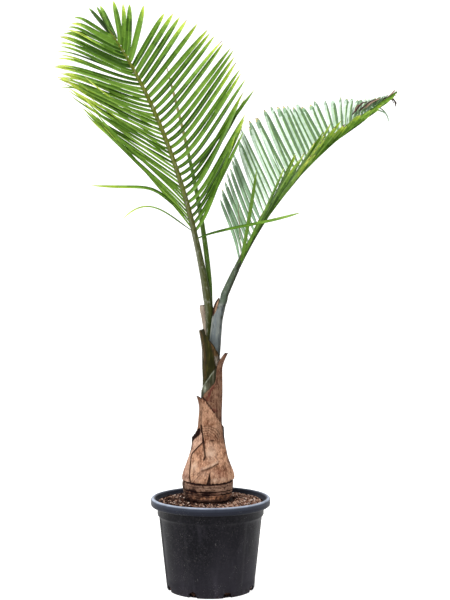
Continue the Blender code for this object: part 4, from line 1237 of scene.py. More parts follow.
# Points and directions at shares of a curve's own length
def along(control, shares):
    t = np.linspace(0.0, 1.0, 400)
    step = t[1]
    hops = np.linalg.norm(np.diff(cubic(control, t), axis=0), axis=1)
    run = np.concatenate(([0.0], np.cumsum(hops)))
    at = np.interp(np.asarray(shares, float) * run[-1], run, t)
    ahead = cubic(control, np.clip(at + step, 0.0, 1.0)) - cubic(control, np.clip(at - step, 0.0, 1.0))
    return cubic(control, at), unit(ahead)


# A smooth line through knots of (x, y, z, radius): each span is a cubic whose end slopes are those of the
# chord between the knots on either side, read at even steps along the knots' own distance
def smoothLine(knots, perMetre):
    knots = np.asarray(knots, float)
    hops = np.linalg.norm(np.diff(knots[:, :3], axis=0), axis=1)
    run = np.concatenate(([0.0], np.cumsum(hops)))
    slope = np.gradient(knots, run, axis=0)
    at = np.linspace(0.0, run[-1], max(8, int(run[-1] * perMetre)))
    span = np.clip(np.searchsorted(run, at, side="right") - 1, 0, len(hops) - 1)
    width = hops[span][:, None]
    u = (at - run[span])[:, None] / width
    start, end = knots[span], knots[span + 1]
    return ((1 + 2 * u) * (1 - u) ** 2 * start + u * (1 - u) ** 2 * width * slope[span]
            + u * u * (3 - 2 * u) * end - u * u * (1 - u) * width * slope[span + 1]), at / run[-1]


# A tube along a line: at each point a ring of the radius there, drawn in or out by a section that depends on
# the angle from the line's right-hand side and on the share of the line
def tubePoints(points, radius, facing, sides, section):
    ahead = unit(np.gradient(points, axis=0))
    upper = squareTo(np.asarray(facing, float), ahead)
    right = np.cross(ahead, upper)
    angle = evenTurns(sides)
    share = np.linspace(0.0, 1.0, len(points))[:, None]
    reach = radius[:, None] * section(angle[None, :], share)
    ring = reach[..., None] * (np.cos(angle)[None, :, None] * right[:, None]
                               + np.sin(angle)[None, :, None] * upper[:, None])
    return points[:, None] + ring


# Knots of a limb: those of its foot, if it has one, then places along its axis with radii from a table
def limbKnots(foot, control, start, end, table, count):
    shares = np.linspace(start, end, count)
    knots = np.concatenate((along(control, shares)[0], np.interp(shares, *table)[:, None]), axis=1)
    return np.concatenate((np.asarray(foot, float), knots)) if len(foot) else knots


# Waxy stalk: its colour goes from one to the next with height, under fine lengthwise streaks and grey bloom,
# with painted shade on one side and painted light on the other where stored
def waxyStalk(name):
    colours, heights, darkSide = stalks["waxes"][name]
    finish = Finish(name, colours[0], 0.5, Specular_IOR_Level=0.09)
    height = finish.axis("Z")
    colour = colours[0]
    for low, high, following in zip(heights, heights[1:], colours[1:]):
        colour = finish.mix(height.step(low, high), colour, following)
    streak = finish.noise(70.0, (3.0, 3.0, 0.25), 4.0, 0.6)
    bloom = finish.noise(150.0, (1.0, 1.0, 0.4), 4.0, 0.7)
    colour = finish.mix(streak.step(0.46, 0.6) * 0.4, colour, shadeOf(colours[0], 0.5))
    colour = finish.mix(bloom.step(0.53, 0.66) * 0.4, colour, (0.28, 0.29, 0.25))
    colour = finish.mix(bloom.step(0.45, 0.34) * 0.4, colour, shadeOf(colours[0], 0.35))
    colour = finish.mix(finish.stored("pale"), colour, (0.36, 0.37, 0.31))
    finish.feed("Base Color", finish.mix(finish.stored("dark"), colour, darkSide))
    finish.feed("Roughness", (streak * 0.3 + 0.38).within())
    finish.bump(streak, 0.0006, 0.6)
    return finish.material


# Round, with a shallow channel down its upper side that deepens along the stalk
def channelled(depth, grow=1.0):
    def section(angle, share):
        channel = np.exp(-((angle - math.pi / 2) / 0.55) ** 2)
        return 1.0 - depth * channel * share ** grow + 0.012 * np.cos(9.0 * angle + 3.0)
    return section


# Flattened: an ellipse whose short radius is a share of the long one
def flattened(flatness):
    def section(angle, share):
        return flatness / np.sqrt((flatness * np.cos(angle)) ** 2 + np.sin(angle) ** 2)
    return section


# Three-sided a little, as a folded leaf is
def threeSided(angle, share):
    return 1.0 + 0.1 * np.cos(3.0 * angle) + 0.0 * share


def buildTube(name, knots, facing, section, finish, replaced, shade, sides=stalks["sides"]):
    line, share = smoothLine(knots, stalks["perMetre"])
    points = tubePoints(line[:, :3], line[:, 3], facing, sides, section)
    values = {"red": 0.0, "pale": 0.0, **shade(np.degrees(evenTurns(sides))[None, :], share[:, None], points)}
    stored = {key: np.clip(value, 0.0, 1.0) + 0.0 * points[..., 2] for key, value in values.items()}
    addPiece(name, points, tubeFaces(len(line), sides), [finish], replaced, 60.0, stored=stored)


# Band down a side of a tube, round its middle angle in degrees from the right-hand side
def sideBand(angle, middle, halfWidth):
    return smoothStep(np.abs(turnFrom(angle, middle)), halfWidth, 0.55 * halfWidth)


leftWax = waxyStalk("leftStalkWax")
rightWax = waxyStalk("rightStalkWax")

footStrap = {
    # turn, height, distance from the column's middle, half width
    "knots": ((-70.0, 0.312, 0.0728, 0.0046), (-76.0, 0.3, 0.0742, 0.005), (-74.0, 0.286, 0.0732, 0.0046),
              (-66.0, 0.27, 0.0724, 0.004), (-56.0, 0.26, 0.073, 0.0028)),
    "facing": (-0.85, -0.5, 0.0),
    "flatness": 0.24,
    "sides": 16,
    "paper": {"light": (0.3, 0.2, 0.15), "mid": (0.19, 0.115, 0.08), "deep": (0.07, 0.035, 0.025)},
}


# A torn strip of the sheath that hangs over the foot at the left: a flattened tube down the column
def buildFootStrap():
    s = footStrap
    knots = [(*onColumn(turn, away, z), radius) for turn, z, away, radius in s["knots"]]

    def shade(angle, share, points):
        edges = sideBand(angle, 0.0, 50.0) + sideBand(angle, 180.0, 50.0)
        return {"dark": 0.8 * edges + 0.4 * smoothStep(share, 0.7, 1.0)}

    buildTube("footStrap", knots, s["facing"], flattened(s["flatness"]),
              dryPaper("dryPaperGrey", **s["paper"]), (), shade, s["sides"])


def buildStalks():
    s = stalks
    left = limbKnots(s["leftFoot"], s["leftAxis"], 0.0, s["leftLeafyFrom"], s["leftPetiole"], 9)
    right = limbKnots(s["rightFoot"], s["rightAxis"], s["rightAxisFrom"], s["rightLeafyFrom"],
                      s["rightPetiole"], 8)
    spear = limbKnots(s["spearFoot"], s["spearAxis"], 0.0, 1.0, s["spear"], 18)

    # painted shade down its right side, fading along it, and painted light on its upper left; darker on its
    # upper side low in the crown
    def leftShade(angle, share, points):
        darkerLow = 0.7 * smoothStep(points[..., 2], 0.775, 0.745) * sideBand(angle, 60.0, 60.0)
        return {"dark": 0.8 * sideBand(angle, 20.0, 70.0) * (1.0 - 0.5 * share) + darkerLow,
                "pale": 0.2 * sideBand(angle, 165.0, 50.0) * (0.4 + 0.6 * share)}

    # painted shade down its right side; dark at its foot, in a mark and at the slanting end of the sheath part,
    # which is streaky and blotted, has painted light on its upper left side and ends in a pale collar
    def rightShade(angle, share, points):
        z = points[..., 2]
        collar = np.exp(-((z - 0.806) / 0.005) ** 2) * sideBand(angle, 40.0, 70.0)
        edge = 0.85 * sideBand(angle, -20.0, 62.0) * smoothStep(z, 0.7, 0.86)
        edge = edge + 0.3 * sideBand(angle, -10.0, 40.0) * smoothStep(z, 0.86, 0.7)
        mark = 0.9 * sideBand(angle, 5.0, 20.0) * np.exp(-((z - 0.77) / 0.004) ** 2)
        low = 0.35 * smoothStep(z, 0.735, 0.69)
        streaky = 0.5 + 0.5 * np.tanh(2.5 * unevenness(angle, z, 81, 14, 110.0))
        sheathed = smoothStep(z, 0.69, 0.73) * smoothStep(z, 0.822, 0.8)
        slant = np.exp(-((z - 0.806 + 0.006 * np.sin(np.radians(angle))) / 0.0022) ** 2)
        blotted = 0.45 * smoothStep(unevenness(angle, z, 82, 9, 260.0), 0.9, 1.5) * sheathed
        return {"dark": edge + mark + low + 0.6 * slant + blotted,
                "pale": 0.2 * collar + sheathed * (0.6 * sideBand(angle, 150.0, 45.0) + 0.28 * streaky)}

    # painted shade down its right side, fading towards its tip
    def spearShade(angle, share, points):
        return {"dark": 0.4 * sideBand(angle, 0.0, 60.0) * (1.0 - share)}

    # dark at its cut end, painted shade down its right side and a painted highlight on its upper left; red on
    # one side
    def stubShade(angle, share, points):
        return {"dark": 0.7 * smoothStep(share, 0.965, 1.0) + 0.35 * sideBand(angle, 0.0, 50.0),
                "red": 0.4 * sideBand(angle, 200.0, 45.0) * smoothStep(share, 0.2, 0.6),
                "pale": 0.35 * sideBand(angle, 120.0, 50.0)}

    buildTube("leftPetiole", left, s["leftFace"], channelled(0.22), leftWax, ["petiole_left"],
              leftShade)
    buildTube("rightPetiole", right, s["rightPetioleFace"], channelled(0.18, 3.0), rightWax,
              ["petiole_right"], rightShade)
    buildTube("spearLeaf", spear, s["spearFace"], threeSided, waxyStalk("spearWax"), ["spear"],
              spearShade, 20)
    buildTube("cutStubStalk", s["cutStub"], (0.0, -1.0, 0.0), channelled(0.16, 0.6),
              dryPaper("pinkStubPaper", **s["stubPaper"]), ["cut_stub"], stubShade)


marginScrap = {
    "knots": ((0.009, -0.008, 0.76, 0.003), (0.0105, -0.012, 0.78, 0.0046),
              (0.013, -0.015, 0.798, 0.0052), (0.018, -0.015, 0.813, 0.0044),
              (0.024, -0.013, 0.8255, 0.002)),
    "facing": (0.0, -1.0, 0.0),
    "flatness": 0.3,
    "sides": 16,
    "paper": {"light": (0.42, 0.26, 0.17), "mid": (0.28, 0.15, 0.085), "deep": (0.07, 0.03, 0.015)},
}


# Torn end of the dried margin that stands up between the stalks: a flattened tube
def buildMarginScrap():
    s = marginScrap

    def shade(angle, share, points):
        return {"dark": 0.92 * sideBand(angle, 180.0, 125.0) + 0.7 * smoothStep(share, 0.8, 0.95)}

    buildTube("marginScrap", s["knots"], s["facing"], flattened(s["flatness"]),
              dryPaper("driedMargin", **s["paper"]), ["petiole_right"], shade, s["sides"])


buildFootStrap()
buildStalks()
buildMarginScrap()
print("stage: fronds")

leaflets = {
    "shares": (0.0, 0.12, 0.3, 0.5, 0.7, 0.85, 0.94, 1.0),
    "pathSteps": 60,
    "stations": (0.0, 0.03, 0.07, 0.12, 0.17, 0.22, 0.27, 0.32, 0.37, 0.42, 0.47, 0.52, 0.57, 0.62, 0.67, 0.72,
                 0.76, 0.8, 0.84, 0.88, 0.91, 0.94, 0.965, 0.985, 1.0),
    "outlineAt": (0.0, 0.035, 0.09, 0.17, 0.27, 0.38, 0.49, 0.6, 0.7, 0.79, 0.87, 0.93, 0.97, 1.0),
    "outlines": {
        "tapered": (0.78, 0.88, 0.95, 0.99, 1.0, 1.0, 1.0, 0.98, 0.93, 0.83, 0.67, 0.46, 0.24, 0.04),
        "parallel": (0.4, 0.55, 0.74, 0.9, 0.98, 1.0, 1.0, 1.0, 0.99, 0.95, 0.86, 0.68, 0.42, 0.1),
    },
    "width": 0.0176,
    "narrowUnder": 0.12,
    # degrees that each half of a blade is folded up, at its foot and further out
    "folds": {"tapered": (26.0, 18.0), "parallel": (40.0, 14.0)},
    "thick": 0.0007,
    "rib": 0.0011,
    "rootDepth": 0.25,
    "bundleSpread": 9.0,
    "bundleStep": 2.0,
    "wander": 1.3,                # degrees that a blade strays from the rule
    "twist": 16.0,
    "widthSpread": (0.92, 1.06),
    "leftSeed": 3,
    "rightSeed": 4,
    "sharpOver": 24.0,
}

# Rows of leaflets. A value that changes along a row has eight numbers, one for each of leaflets["shares"]:
# degrees from the axis at the foot (base) and further out (run), degrees towards the face (lift) and at the
# tip (curl), lengths, shares of the full width, and how much later the outer tints begin.
leftRows = (
    {"side": 1, "count": 31, "missing": (0,), "span": (0.235, 0.935), "bend": 0.13, "look": "bright",
     "wander": 1.8, "widths": (0.66, 0.68, 0.74, 0.8, 0.86, 0.96, 1.06, 1.1),
     "base": (51, 70, 86, 82, 68, 55, 44, 46), "run": (36, 42, 48, 56, 60, 55, 28, 21),
     "lift": (20, 20, 20, 20, 20, 20, 15, 10),
     "length": (0.293, 0.317, 0.341, 0.332, 0.278, 0.217, 0.174, 0.158)},
    {"side": -1, "count": 42, "bundles": (8, 8, 7, 6, 5, 4, 3, 1), "span": (0.262, 0.962), "bend": 0.16,
     "look": "yellowing", "wander": 1.6, "deepFrom": 0.72, "lift": 20,
     "widths": (0.37, 0.4, 0.49, 0.62, 0.73, 0.8, 0.86, 0.92),
     "later": (0.26, 0.2, 0.08, 0.0, 0.0, 0.06, 0.1, 0.1),
     "base": (25, 36, 57, 76, 84, 82, 71, 53), "run": (39, 46, 54, 60.5, 68, 53, 46, 39),
     "curl": (0, -12, -20, -9, 20, 33, 52, 60),
     "length": (0.385, 0.37, 0.325, 0.324, 0.289, 0.232, 0.169, 0.138)},
    # narrower blades among the others
    {"side": -1, "count": 15, "span": (0.5, 0.95), "bend": 0.16, "look": "yellowing", "wander": 4.0,
     "deepFrom": 0.6, "lift": 17, "widths": (0.3, 0.32, 0.38, 0.42, 0.46, 0.5, 0.5, 0.5),
     "base": (45, 60, 76, 84, 84, 76, 64, 53), "run": (50, 56, 60, 66, 60, 52, 46, 40),
     "curl": (-20, -16, -6, 10, 26, 40, 52, 60),
     "length": (0.27, 0.282, 0.29, 0.282, 0.252, 0.206, 0.158, 0.13)},
    # the last three at the tip
    {"side": 1, "count": 2, "span": (0.958, 0.98), "bend": 0.16, "look": "bright", "base": 8, "lift": 8,
     "run": (9, 9, 9, 9, 4, 4, 4, 4), "length": (0.128, 0.128, 0.128, 0.124, 0.118, 0.114, 0.112, 0.11)},
    {"side": -1, "count": 1, "span": (0.97, 0.97), "bend": 0.16, "look": "shaded", "base": 8, "run": 5,
     "lift": 8, "length": 0.122},
)
rightRows = (
    # the far row takes the bloom look: a painted sheen of reflected light
    {"side": -1, "count": 44, "crowd": 1.35, "span": (0.197, 0.93), "bend": 0.3, "look": "bloom",
     "outline": "parallel", "narrowUnder": 0.055, "deepUpTo": 0.18, "lift": 20,
     "widths": (0.76, 0.84, 0.96, 1.04, 1.04, 1.02, 0.95, 0.75),
     "base": (42, 65, 70, 79, 77, 62, 40, 20), "run": (61, 59, 66, 73, 80, 46, 32, 20),
     "length": (0.238, 0.256, 0.336, 0.314, 0.192, 0.086, 0.05, 0.035)},
    {"side": 1, "count": 5, "span": (0.17, 0.25), "bend": 0.2, "look": "glossy", "narrowUnder": 0.055,
     "facing": (0.25, -0.85, 0.2), "widths": 0.6, "base": 16, "lift": 30,
     "run": (14, 18, 22, 22, 20, 18, 18, 18),
     "length": (0.15, 0.16, 0.17, 0.18, 0.18, 0.17, 0.16, 0.16)},
    {"side": 1, "count": 42, "missing": (1, 2, 3), "span": (0.2, 0.96), "bend": 0.16, "look": "glossy",
     "facing": (0.25, -0.85, 0.2), "narrowUnder": 0.055, "wander": 2.6, "base": 36,
     "widths": (0.66, 0.66, 0.68, 0.7, 0.7, 0.66, 0.6, 0.5), "run": (46, 50, 54, 54, 50, 44, 32, 18),
     "lift": (44, 25, 25, 28, 20, 17, 13, 10), "later": (0.0, 0.0, 0.0, 0.02, 0.06, 0.14, 0.2, 0.2),
     "length": (0.318, 0.322, 0.278, 0.234, 0.163, 0.1, 0.058, 0.032)},
)
strays = {
    # share of the left rachis where each starts, then the rest of its cubic curve
    "lines": ((0.232, (0.0452, -0.0814, 1.0258), (0.1334, -0.1705, 1.0191), (0.242, -0.2, 1.053)),
              (0.282, (-0.1806, -0.03, 1.1724), (-0.1517, -0.05, 1.1263), (-0.3329, -0.07, 1.1395)),
              (0.254, (-0.1194, -0.05, 1.0583), (-0.1705, -0.08, 1.1232), (-0.2435, -0.1, 1.041))),
    "width": (0.0098, 0.0104, 0.005),
    "looks": ("strayGreen", "strayPale", "strayPale"),
    "facing": (0.0, -0.92, 0.4),
    "touch": 0.009,
    "seed": 77,
}

# Dried ends and shreds of the right leaf, two pale loose leaflets at its tip and a dried thread near its
# foot: tint, width, places
rightScraps = (
    ("driedTan", 0.0052, ((0.487, -0.07, 1.38), (0.502, -0.076, 1.3905), (0.51, -0.078, 1.399),
                          (0.515, -0.078, 1.405))),
    ("driedRust", 0.004, ((0.49, -0.072, 1.383), (0.508, -0.078, 1.388), (0.517, -0.079, 1.396))),
    ("driedDark", 0.0054, ((0.482, -0.07, 1.38), (0.501, -0.078, 1.3835), (0.512, -0.08, 1.374),
                           (0.5165, -0.08, 1.356))),
    ("driedDark", 0.0044, ((0.496, -0.074, 1.382), (0.51, -0.08, 1.376), (0.5185, -0.081, 1.366))),
    ("driedDark", 0.003, ((0.488, -0.074, 1.378), (0.506, -0.079, 1.376), (0.51, -0.08, 1.365))),
    ("leafStraw", 0.003, ((0.498, -0.073, 1.387), (0.513, -0.078, 1.39), (0.5195, -0.079, 1.386))),
    ("driedDark", 0.0058, ((0.398, -0.048, 1.34), (0.412, -0.05, 1.356), (0.426, -0.052, 1.372),
                           (0.442, -0.056, 1.376))),
    ("driedDark", 0.005, ((0.418, -0.054, 1.35), (0.433, -0.056, 1.364), (0.456, -0.06, 1.379),
                           (0.47, -0.062, 1.382))),
    ("driedTan", 0.004, ((0.432, -0.058, 1.356), (0.448, -0.06, 1.37), (0.476, -0.065, 1.385))),
    ("driedRust", 0.0036, ((0.405, -0.05, 1.348), (0.411, -0.05, 1.364), (0.42, -0.052, 1.369))),
    ("sheenSoft", 0.0052, ((0.448, -0.076, 1.358), (0.464, -0.084, 1.348), (0.487, -0.088, 1.336),
                           (0.496, -0.088, 1.313))),
    ("sheenGreen", 0.0044, ((0.456, -0.076, 1.362), (0.476, -0.084, 1.35), (0.493, -0.088, 1.33))),
    ("driedRust", 0.0016, ((0.086, -0.025, 0.938), (0.082, -0.028, 1.032), (0.0778, -0.03, 1.1))),
)

# The tints that the leaflets are dealt; each is plain but for fine mottling
tints = {
    "leafFoot": (0.11, 0.17, 0.02),
    "leafRib": (0.15, 0.3, 0.03),
    "leafShade": (0.008, 0.028, 0.001),
    "leafDeep": (0.028, 0.075, 0.002),
    "leafGreen": (0.064, 0.145, 0.01),
    "leafBright": (0.118, 0.235, 0.024),
    "leafFresh": (0.2, 0.345, 0.048),
    "leafLime": (0.29, 0.43, 0.035),
    "leafGold": (0.42, 0.55, 0.07),
    "leafYellow": (0.56, 0.66, 0.11),
    "leafStraw": (0.64, 0.56, 0.26),
    "leafBrown": (0.15, 0.085, 0.045),
    # painted sheen: pale tints standing for light reflected off glossy blades, and a darker green for their
    # shaded half
    "sheenPale": (0.58, 0.7, 0.59),
    "sheenSoft": (0.43, 0.56, 0.43),
    "sheenGreen": (0.24, 0.37, 0.23),
    "sheenShade": (0.115, 0.195, 0.095),
    "driedRust": (0.2, 0.1, 0.068),
    "driedTan": (0.31, 0.195, 0.13),
    "driedDark": (0.05, 0.022, 0.02),
}
tintNames = list(tints)
# from dark to light: along its length a green blade goes from one of these to the next, never past one
rungNames = ("leafDeep", "leafGreen", "leafBright", "leafFresh", "leafLime", "leafGold", "leafYellow",
             "leafStraw", "leafBrown")
ladder = np.array([tintNames.index(name) for name in rungNames])
rungs = np.full(len(tints), -1)
rungs[ladder] = np.arange(len(ladder))

# For each look: tints of the inner stretch with their chances, then the tints further out and from which
# share of the blade each begins
looks = {
    "bright": {"inner": (("leafGreen", 0.52), ("leafDeep", 0.14), ("leafBright", 0.34)),
               "outer": (("leafBright", 0.6), ("leafFresh", 0.78), ("leafLime", 0.87), ("leafGold", 0.92),
                         ("leafStraw", 0.965), ("leafBrown", 0.985))},
    "yellowing": {"inner": (("leafGreen", 0.12), ("leafBright", 0.4), ("leafFresh", 0.48)),
                  "outer": (("leafFresh", 0.58), ("leafLime", 0.75), ("leafGold", 0.83), ("leafYellow", 0.89),
                            ("leafStraw", 0.975))},
    "strayGreen": {"inner": (("leafDeep", 1.0),),
                   "outer": (("leafGreen", 0.24), ("leafBright", 0.5), ("leafFresh", 0.68),
                             ("leafLime", 0.86))},
    "strayPale": {"inner": (("leafDeep", 1.0),),
                  "outer": (("leafGreen", 0.2), ("leafBright", 0.36), ("leafFresh", 0.5), ("leafLime", 0.64),
                            ("leafGold", 0.84), ("leafStraw", 0.95))},
    "shaded": {"inner": (("leafShade", 1.0),), "outer": (("leafDeep", 0.7), ("leafLime", 0.94))},
    # painted sheen of reflected light, with a darker shaded half
    "bloom": {"inner": (("sheenPale", 0.72), ("sheenGreen", 0.06), ("sheenSoft", 0.22)),
              "outer": (("sheenGreen", 0.92), ("leafStraw", 0.978), ("leafBrown", 0.99))},
    "glossy": {"inner": (("leafDeep", 0.26), ("leafGreen", 0.42), ("leafBright", 0.32)),
               "outer": (("leafBright", 0.48), ("leafFresh", 0.7), ("leafLime", 0.84), ("leafYellow", 0.93),
                         ("driedRust", 0.975))},
}


def leafFinish(name, colour):
    finish = Finish(name, colour, 0.42, Specular_IOR_Level=0.14)
    mottle = finish.noise(70.0).step(0.3, 0.7)
    finish.feed("Base Color", finish.mix(mottle, shadeOf(colour, 0.86), shadeOf(colour, 1.12)))
    finish.feed("Roughness", (finish.noise(160.0) * 0.22 + 0.32).within())
    finish.bump(finish.noise(600.0, detail=2.0), 0.0002, 0.35)
    return finish.material


leafFinishes = [leafFinish(name, colour) for name, colour in tints.items()]


# A row's value at places along it, from a table of eight numbers or from one
def rowValue(row, key, places, plain=0.0):
    shares = leaflets["shares"]
    return np.interp(places, shares, np.broadcast_to(row.get(key, plain), len(shares)))


# Place of each leaflet within its bundle: from 0 to 1, and counted from the middle
def bundlePlaces(row):
    if "bundles" not in row:
        return np.full(row["count"], 0.5), np.zeros(row["count"])
    ranks = [np.arange(size) - (size - 1) / 2.0 for size in row["bundles"]]
    places = [rank / max(1, len(rank) - 1) + 0.5 for rank in ranks]
    return np.concatenate(places), np.concatenate(ranks)


# Centre lines of a row of leaflets: each leaves the axis at one angle, soon bends to another, may curl at its
# tip and strays a little from the rule
def leafletPaths(control, facing, row, rng):
    leafy = 1.0 - (1.0 - np.linspace(0.0, 1.0, row["count"])) ** row.get("crowd", 1.0)
    shares = row["span"][0] + (row["span"][1] - row["span"][0]) * leafy
    point, ahead = along(control, shares)
    upper = squareTo(np.asarray(facing, float), ahead)
    right = np.cross(ahead, upper)
    base, run, curl, lift, length = (rowValue(row, key, leafy)[:, None]
                                     for key in ("base", "run", "curl", "lift", "length"))
    place, rank = bundlePlaces(row)
    steps = leaflets["pathSteps"]
    stray = rng.normal(0.0, row.get("wander", leaflets["wander"]), (3, row["count"], 1))
    base = np.radians(base)
    run = np.radians(run + leaflets["bundleSpread"] * (place[:, None] - 0.5) + stray[0])
    lift = np.radians(lift + leaflets["bundleStep"] * rank[:, None] + stray[1])
    middle = (np.arange(steps)[None, :] + 0.5) / steps
    angle = run - (run - base) * np.exp(-middle / row["bend"])
    angle = angle + np.radians(curl) * np.clip((middle - 0.55) / 0.45, 0.0, 1.0) ** 2
    angle = angle + np.radians(2.0 * stray[2]) * (middle - 0.5) ** 2
    out = np.cos(lift)[..., None] * row["side"] * right[:, None] + np.sin(lift)[..., None] * upper[:, None]
    heading = np.cos(angle)[..., None] * ahead[:, None] + np.sin(angle)[..., None] * out
    radius = np.interp(shares, *stalks["rachis"])[:, None]
    start = point + leaflets["rootDepth"] * row["side"] * radius * right
    hops = np.cumsum(heading * length[..., None] / steps, axis=1)
    path = np.concatenate((start[:, None], start[:, None] + hops), axis=1)
    return path, upper, length[:, 0]


# Folded blades along their centre lines: at each station the outline's half width goes to either side and
# rises by the fold's angle, which opens from foot to tip, with a rib standing out below; the blade turns a
# little about its own line on the way out
def bladePoints(paths, upper, width, twist, outline="tapered"):
    stations = np.array(leaflets["stations"])
    at = stations * (paths.shape[1] - 1)
    low = np.minimum(at.astype(int), paths.shape[1] - 2)
    rest = (at - low)[None, :, None]
    centre = paths[:, low] * (1.0 - rest) + paths[:, low + 1] * rest
    ahead = unit(np.gradient(centre, axis=1))
    normal = squareTo(upper[:, None], ahead)
    across = np.cross(ahead, normal)
    turn = np.radians(twist)[:, None, None] * stations[None, :, None]
    across, normal = (np.cos(turn) * across + np.sin(turn) * normal,
                      np.cos(turn) * normal - np.sin(turn) * across)
    reach = np.interp(stations, leaflets["outlineAt"], leaflets["outlines"][outline])
    half = 0.5 * width[:, None] * reach[None, :]
    opened = smoothStep(stations, 0.0, 0.3)
    foot, out = leaflets["folds"][outline]
    fold = np.radians(foot * (1.0 - opened) + out * opened)[None, :]
    outwards, upwards = half * np.cos(fold), half * np.sin(fold)
    fade = np.clip(half / 0.002, 0.15, 1.0)
    thick, rib = leaflets["thick"] * fade, leaflets["rib"] * fade
    # (share across, share of the rise, share of the thickness below)
    section = ((-1.0, 1.0, 0.0), (-0.09, 0.05, 0.0), (0.09, 0.05, 0.0), (1.0, 1.0, 0.0), (0.5, 0.5, 1.0),
               (0.0, 0.0, 0.0), (-0.5, 0.5, 1.0))
    ring = []
    for k, (side, rise, below) in enumerate(section):
        drop = thick * below + (thick + rib if k == 5 else 0.0)
        outside = centre + (side * outwards)[..., None] * across
        ring.append(outside + (rise * upwards - drop)[..., None] * normal)
    return np.stack(ring, axis=2)


dealing = {
    "changeAt": (0.12, 0.5),     # share of a blade where its inner tint may go a step up or down
    "bladeShift": 0.09,
    "stripShift": 0.03,
    # a darker half is painted shade on one side of the fold
    "shadedHalf": (0.55, 0.86),      # chance that a blade has a darker half, and how far out
    "deeper": (0.8, 0.8),       # chance that a blade of the deeper end is deeper, and how far out
    "ribUpTo": 0.8,
}


# Deals each face of a row of blades its tint: one for the inner stretch, which may go a step up or down on
# the way, others from their own shares on, reached a step of the ladder at a time, the rib its own. Many
# green blades have one half of the fold painted a step darker as shade, and past deepFrom of the row most are
# a step deeper. A blade of the bloom look is painted with a pale sheen standing for reflected light: the half
# next to the axis is painted darker as its shaded half, and all of it up to deepUpTo of the row is dark.
def dealTints(row, places, sides, rng):
    spec = looks[row["look"]]
    count = len(places)
    names, chances = zip(*spec["inner"])
    inner = rng.choice([tintNames.index(name) for name in names], count, p=chances)
    stations = np.array(leaflets["stations"])
    middle = ((stations[1:] + stations[:-1]) / 2.0)[None, :, None]
    faces = np.repeat(np.repeat(inner[:, None, None], middle.size, axis=1), sides, axis=2)
    changed = middle > rng.uniform(*dealing["changeAt"], (count, 1, 1))
    climb = np.clip(rungs[faces] + rng.choice((-1, 0, 1), (count, 1, 1)), 0, 3)
    faces = np.where(changed & (rungs[faces] >= 0), ladder[climb], faces)
    shift = rng.normal(0.0, dealing["bladeShift"], (count, 1, 1))
    shift = shift + rng.normal(0.0, dealing["stripShift"], (count, 1, sides))
    shift = shift - rowValue(row, "later", places)[:, None, None]
    for name, begins in spec["outer"]:
        slack = shift * min(1.0, (1.0 - begins) * 6.0)
        faces = np.where(middle + slack > begins, tintNames.index(name), faces)
    rung = rungs[faces]
    for k in range(1, rung.shape[1]):
        climbing = (rung[:, k] >= 0) & (rung[:, k - 1] >= 0)
        rung[:, k] = np.where(climbing, np.minimum(rung[:, k], rung[:, k - 1] + 1), rung[:, k])
    # painted shade on one half of the fold
    chance, upTo = dealing["shadedHalf"]
    shadedHalf = (rng.uniform(0.0, 1.0, (count, 1, 1)) < chance) & (np.arange(sides) == 2) & (middle < upTo)
    chance, upTo = dealing["deeper"]
    deepEnd = places[:, None, None] > row.get("deepFrom", 2.0)
    deeper = deepEnd & (rng.uniform(0.0, 1.0, (count, 1, 1)) < chance)
    rung = np.where(rung > 0, rung - shadedHalf - (deeper & (middle < upTo)), rung)
    faces = np.where(rung >= 0, ladder[rung], np.where(rungs[faces] >= 0, ladder[0], faces))
    ribbed = (middle < dealing["ribUpTo"]) & ~deeper & (np.arange(sides) == 1) & (row["look"] != "shaded")
    faces = np.where(ribbed, tintNames.index("leafRib"), faces)
    faces[:, :1] = tintNames.index("leafFoot")
    # painted sheen on the bloom look, with its shaded half darker
    if row["look"] == "bloom":
        inside = slice(1, -4)
        faces[:, inside, 2] = tintNames.index("sheenShade")
        low = places < row.get("deepUpTo", -1.0)
        faces[low, inside] = tintNames.index("sheenShade")
        faces[low, inside, :2] = tintNames.index("sheenGreen")
    return faces


def nearest(path, other):
    return float(np.min(np.linalg.norm(path[:, None] - other[None], axis=-1)))


def strayPaths():
    starts = along(stalks["leftAxis"], [line[0] for line in strays["lines"]])[0]
    t = np.linspace(0.0, 1.0, leaflets["pathSteps"] + 1)
    return np.array([cubic((tuple(start), *line[1:]), t) for start, line in zip(starts, strays["lines"])])


# Joins blades into one piece: a grid for each, capped at both ends
def addBlades(name, points, tintFaces, replaced):
    count, stations, sides = points.shape[:3]
    one = tubeFaces(stations, sides)
    faces, finish = [], []
    for k in range(count):
        first = k * stations * sides
        faces += [[corner + first for corner in face] for face in one]
        tint = tintFaces[k].ravel().tolist()
        finish += tint + [tint[0], tint[-1]]
    addPiece(name, points, faces, leafFinishes, replaced, leaflets["sharpOver"], finish)



def buildFrond(name, control, facing, rows, node, seed, extra, keepClear=None):
    rng = np.random.default_rng(seed)
    allPoints, allTints = [], []
    for row in rows:
        paths, upper, lengths = leafletPaths(control, facing, row, rng)
        keep = [k for k in range(row["count"]) if k not in row.get("missing", ())
                and (keepClear is None or nearest(paths[k], keepClear) > strays["touch"])]
        width = leaflets["width"] * np.minimum(1.0, lengths / row.get("narrowUnder", leaflets["narrowUnder"]))
        width = width * rng.uniform(*leaflets["widthSpread"], row["count"])
        twist = rng.normal(0.0, leaflets["twist"], row["count"])
        place = np.linspace(0.0, 1.0, row["count"])
        width = width * rowValue(row, "widths", place, 1.0)
        if "facing" in row:
            upper = np.broadcast_to(row["facing"], upper.shape)
        points = bladePoints(paths[keep], upper[keep], width[keep], twist[keep], row.get("outline", "tapered"))
        allPoints.append(points)
        allTints.append(dealTints(row, place[keep], points.shape[2], rng))
    addBlades(name, np.concatenate((*allPoints, extra[0])), np.concatenate((*allTints, extra[1])), [node])


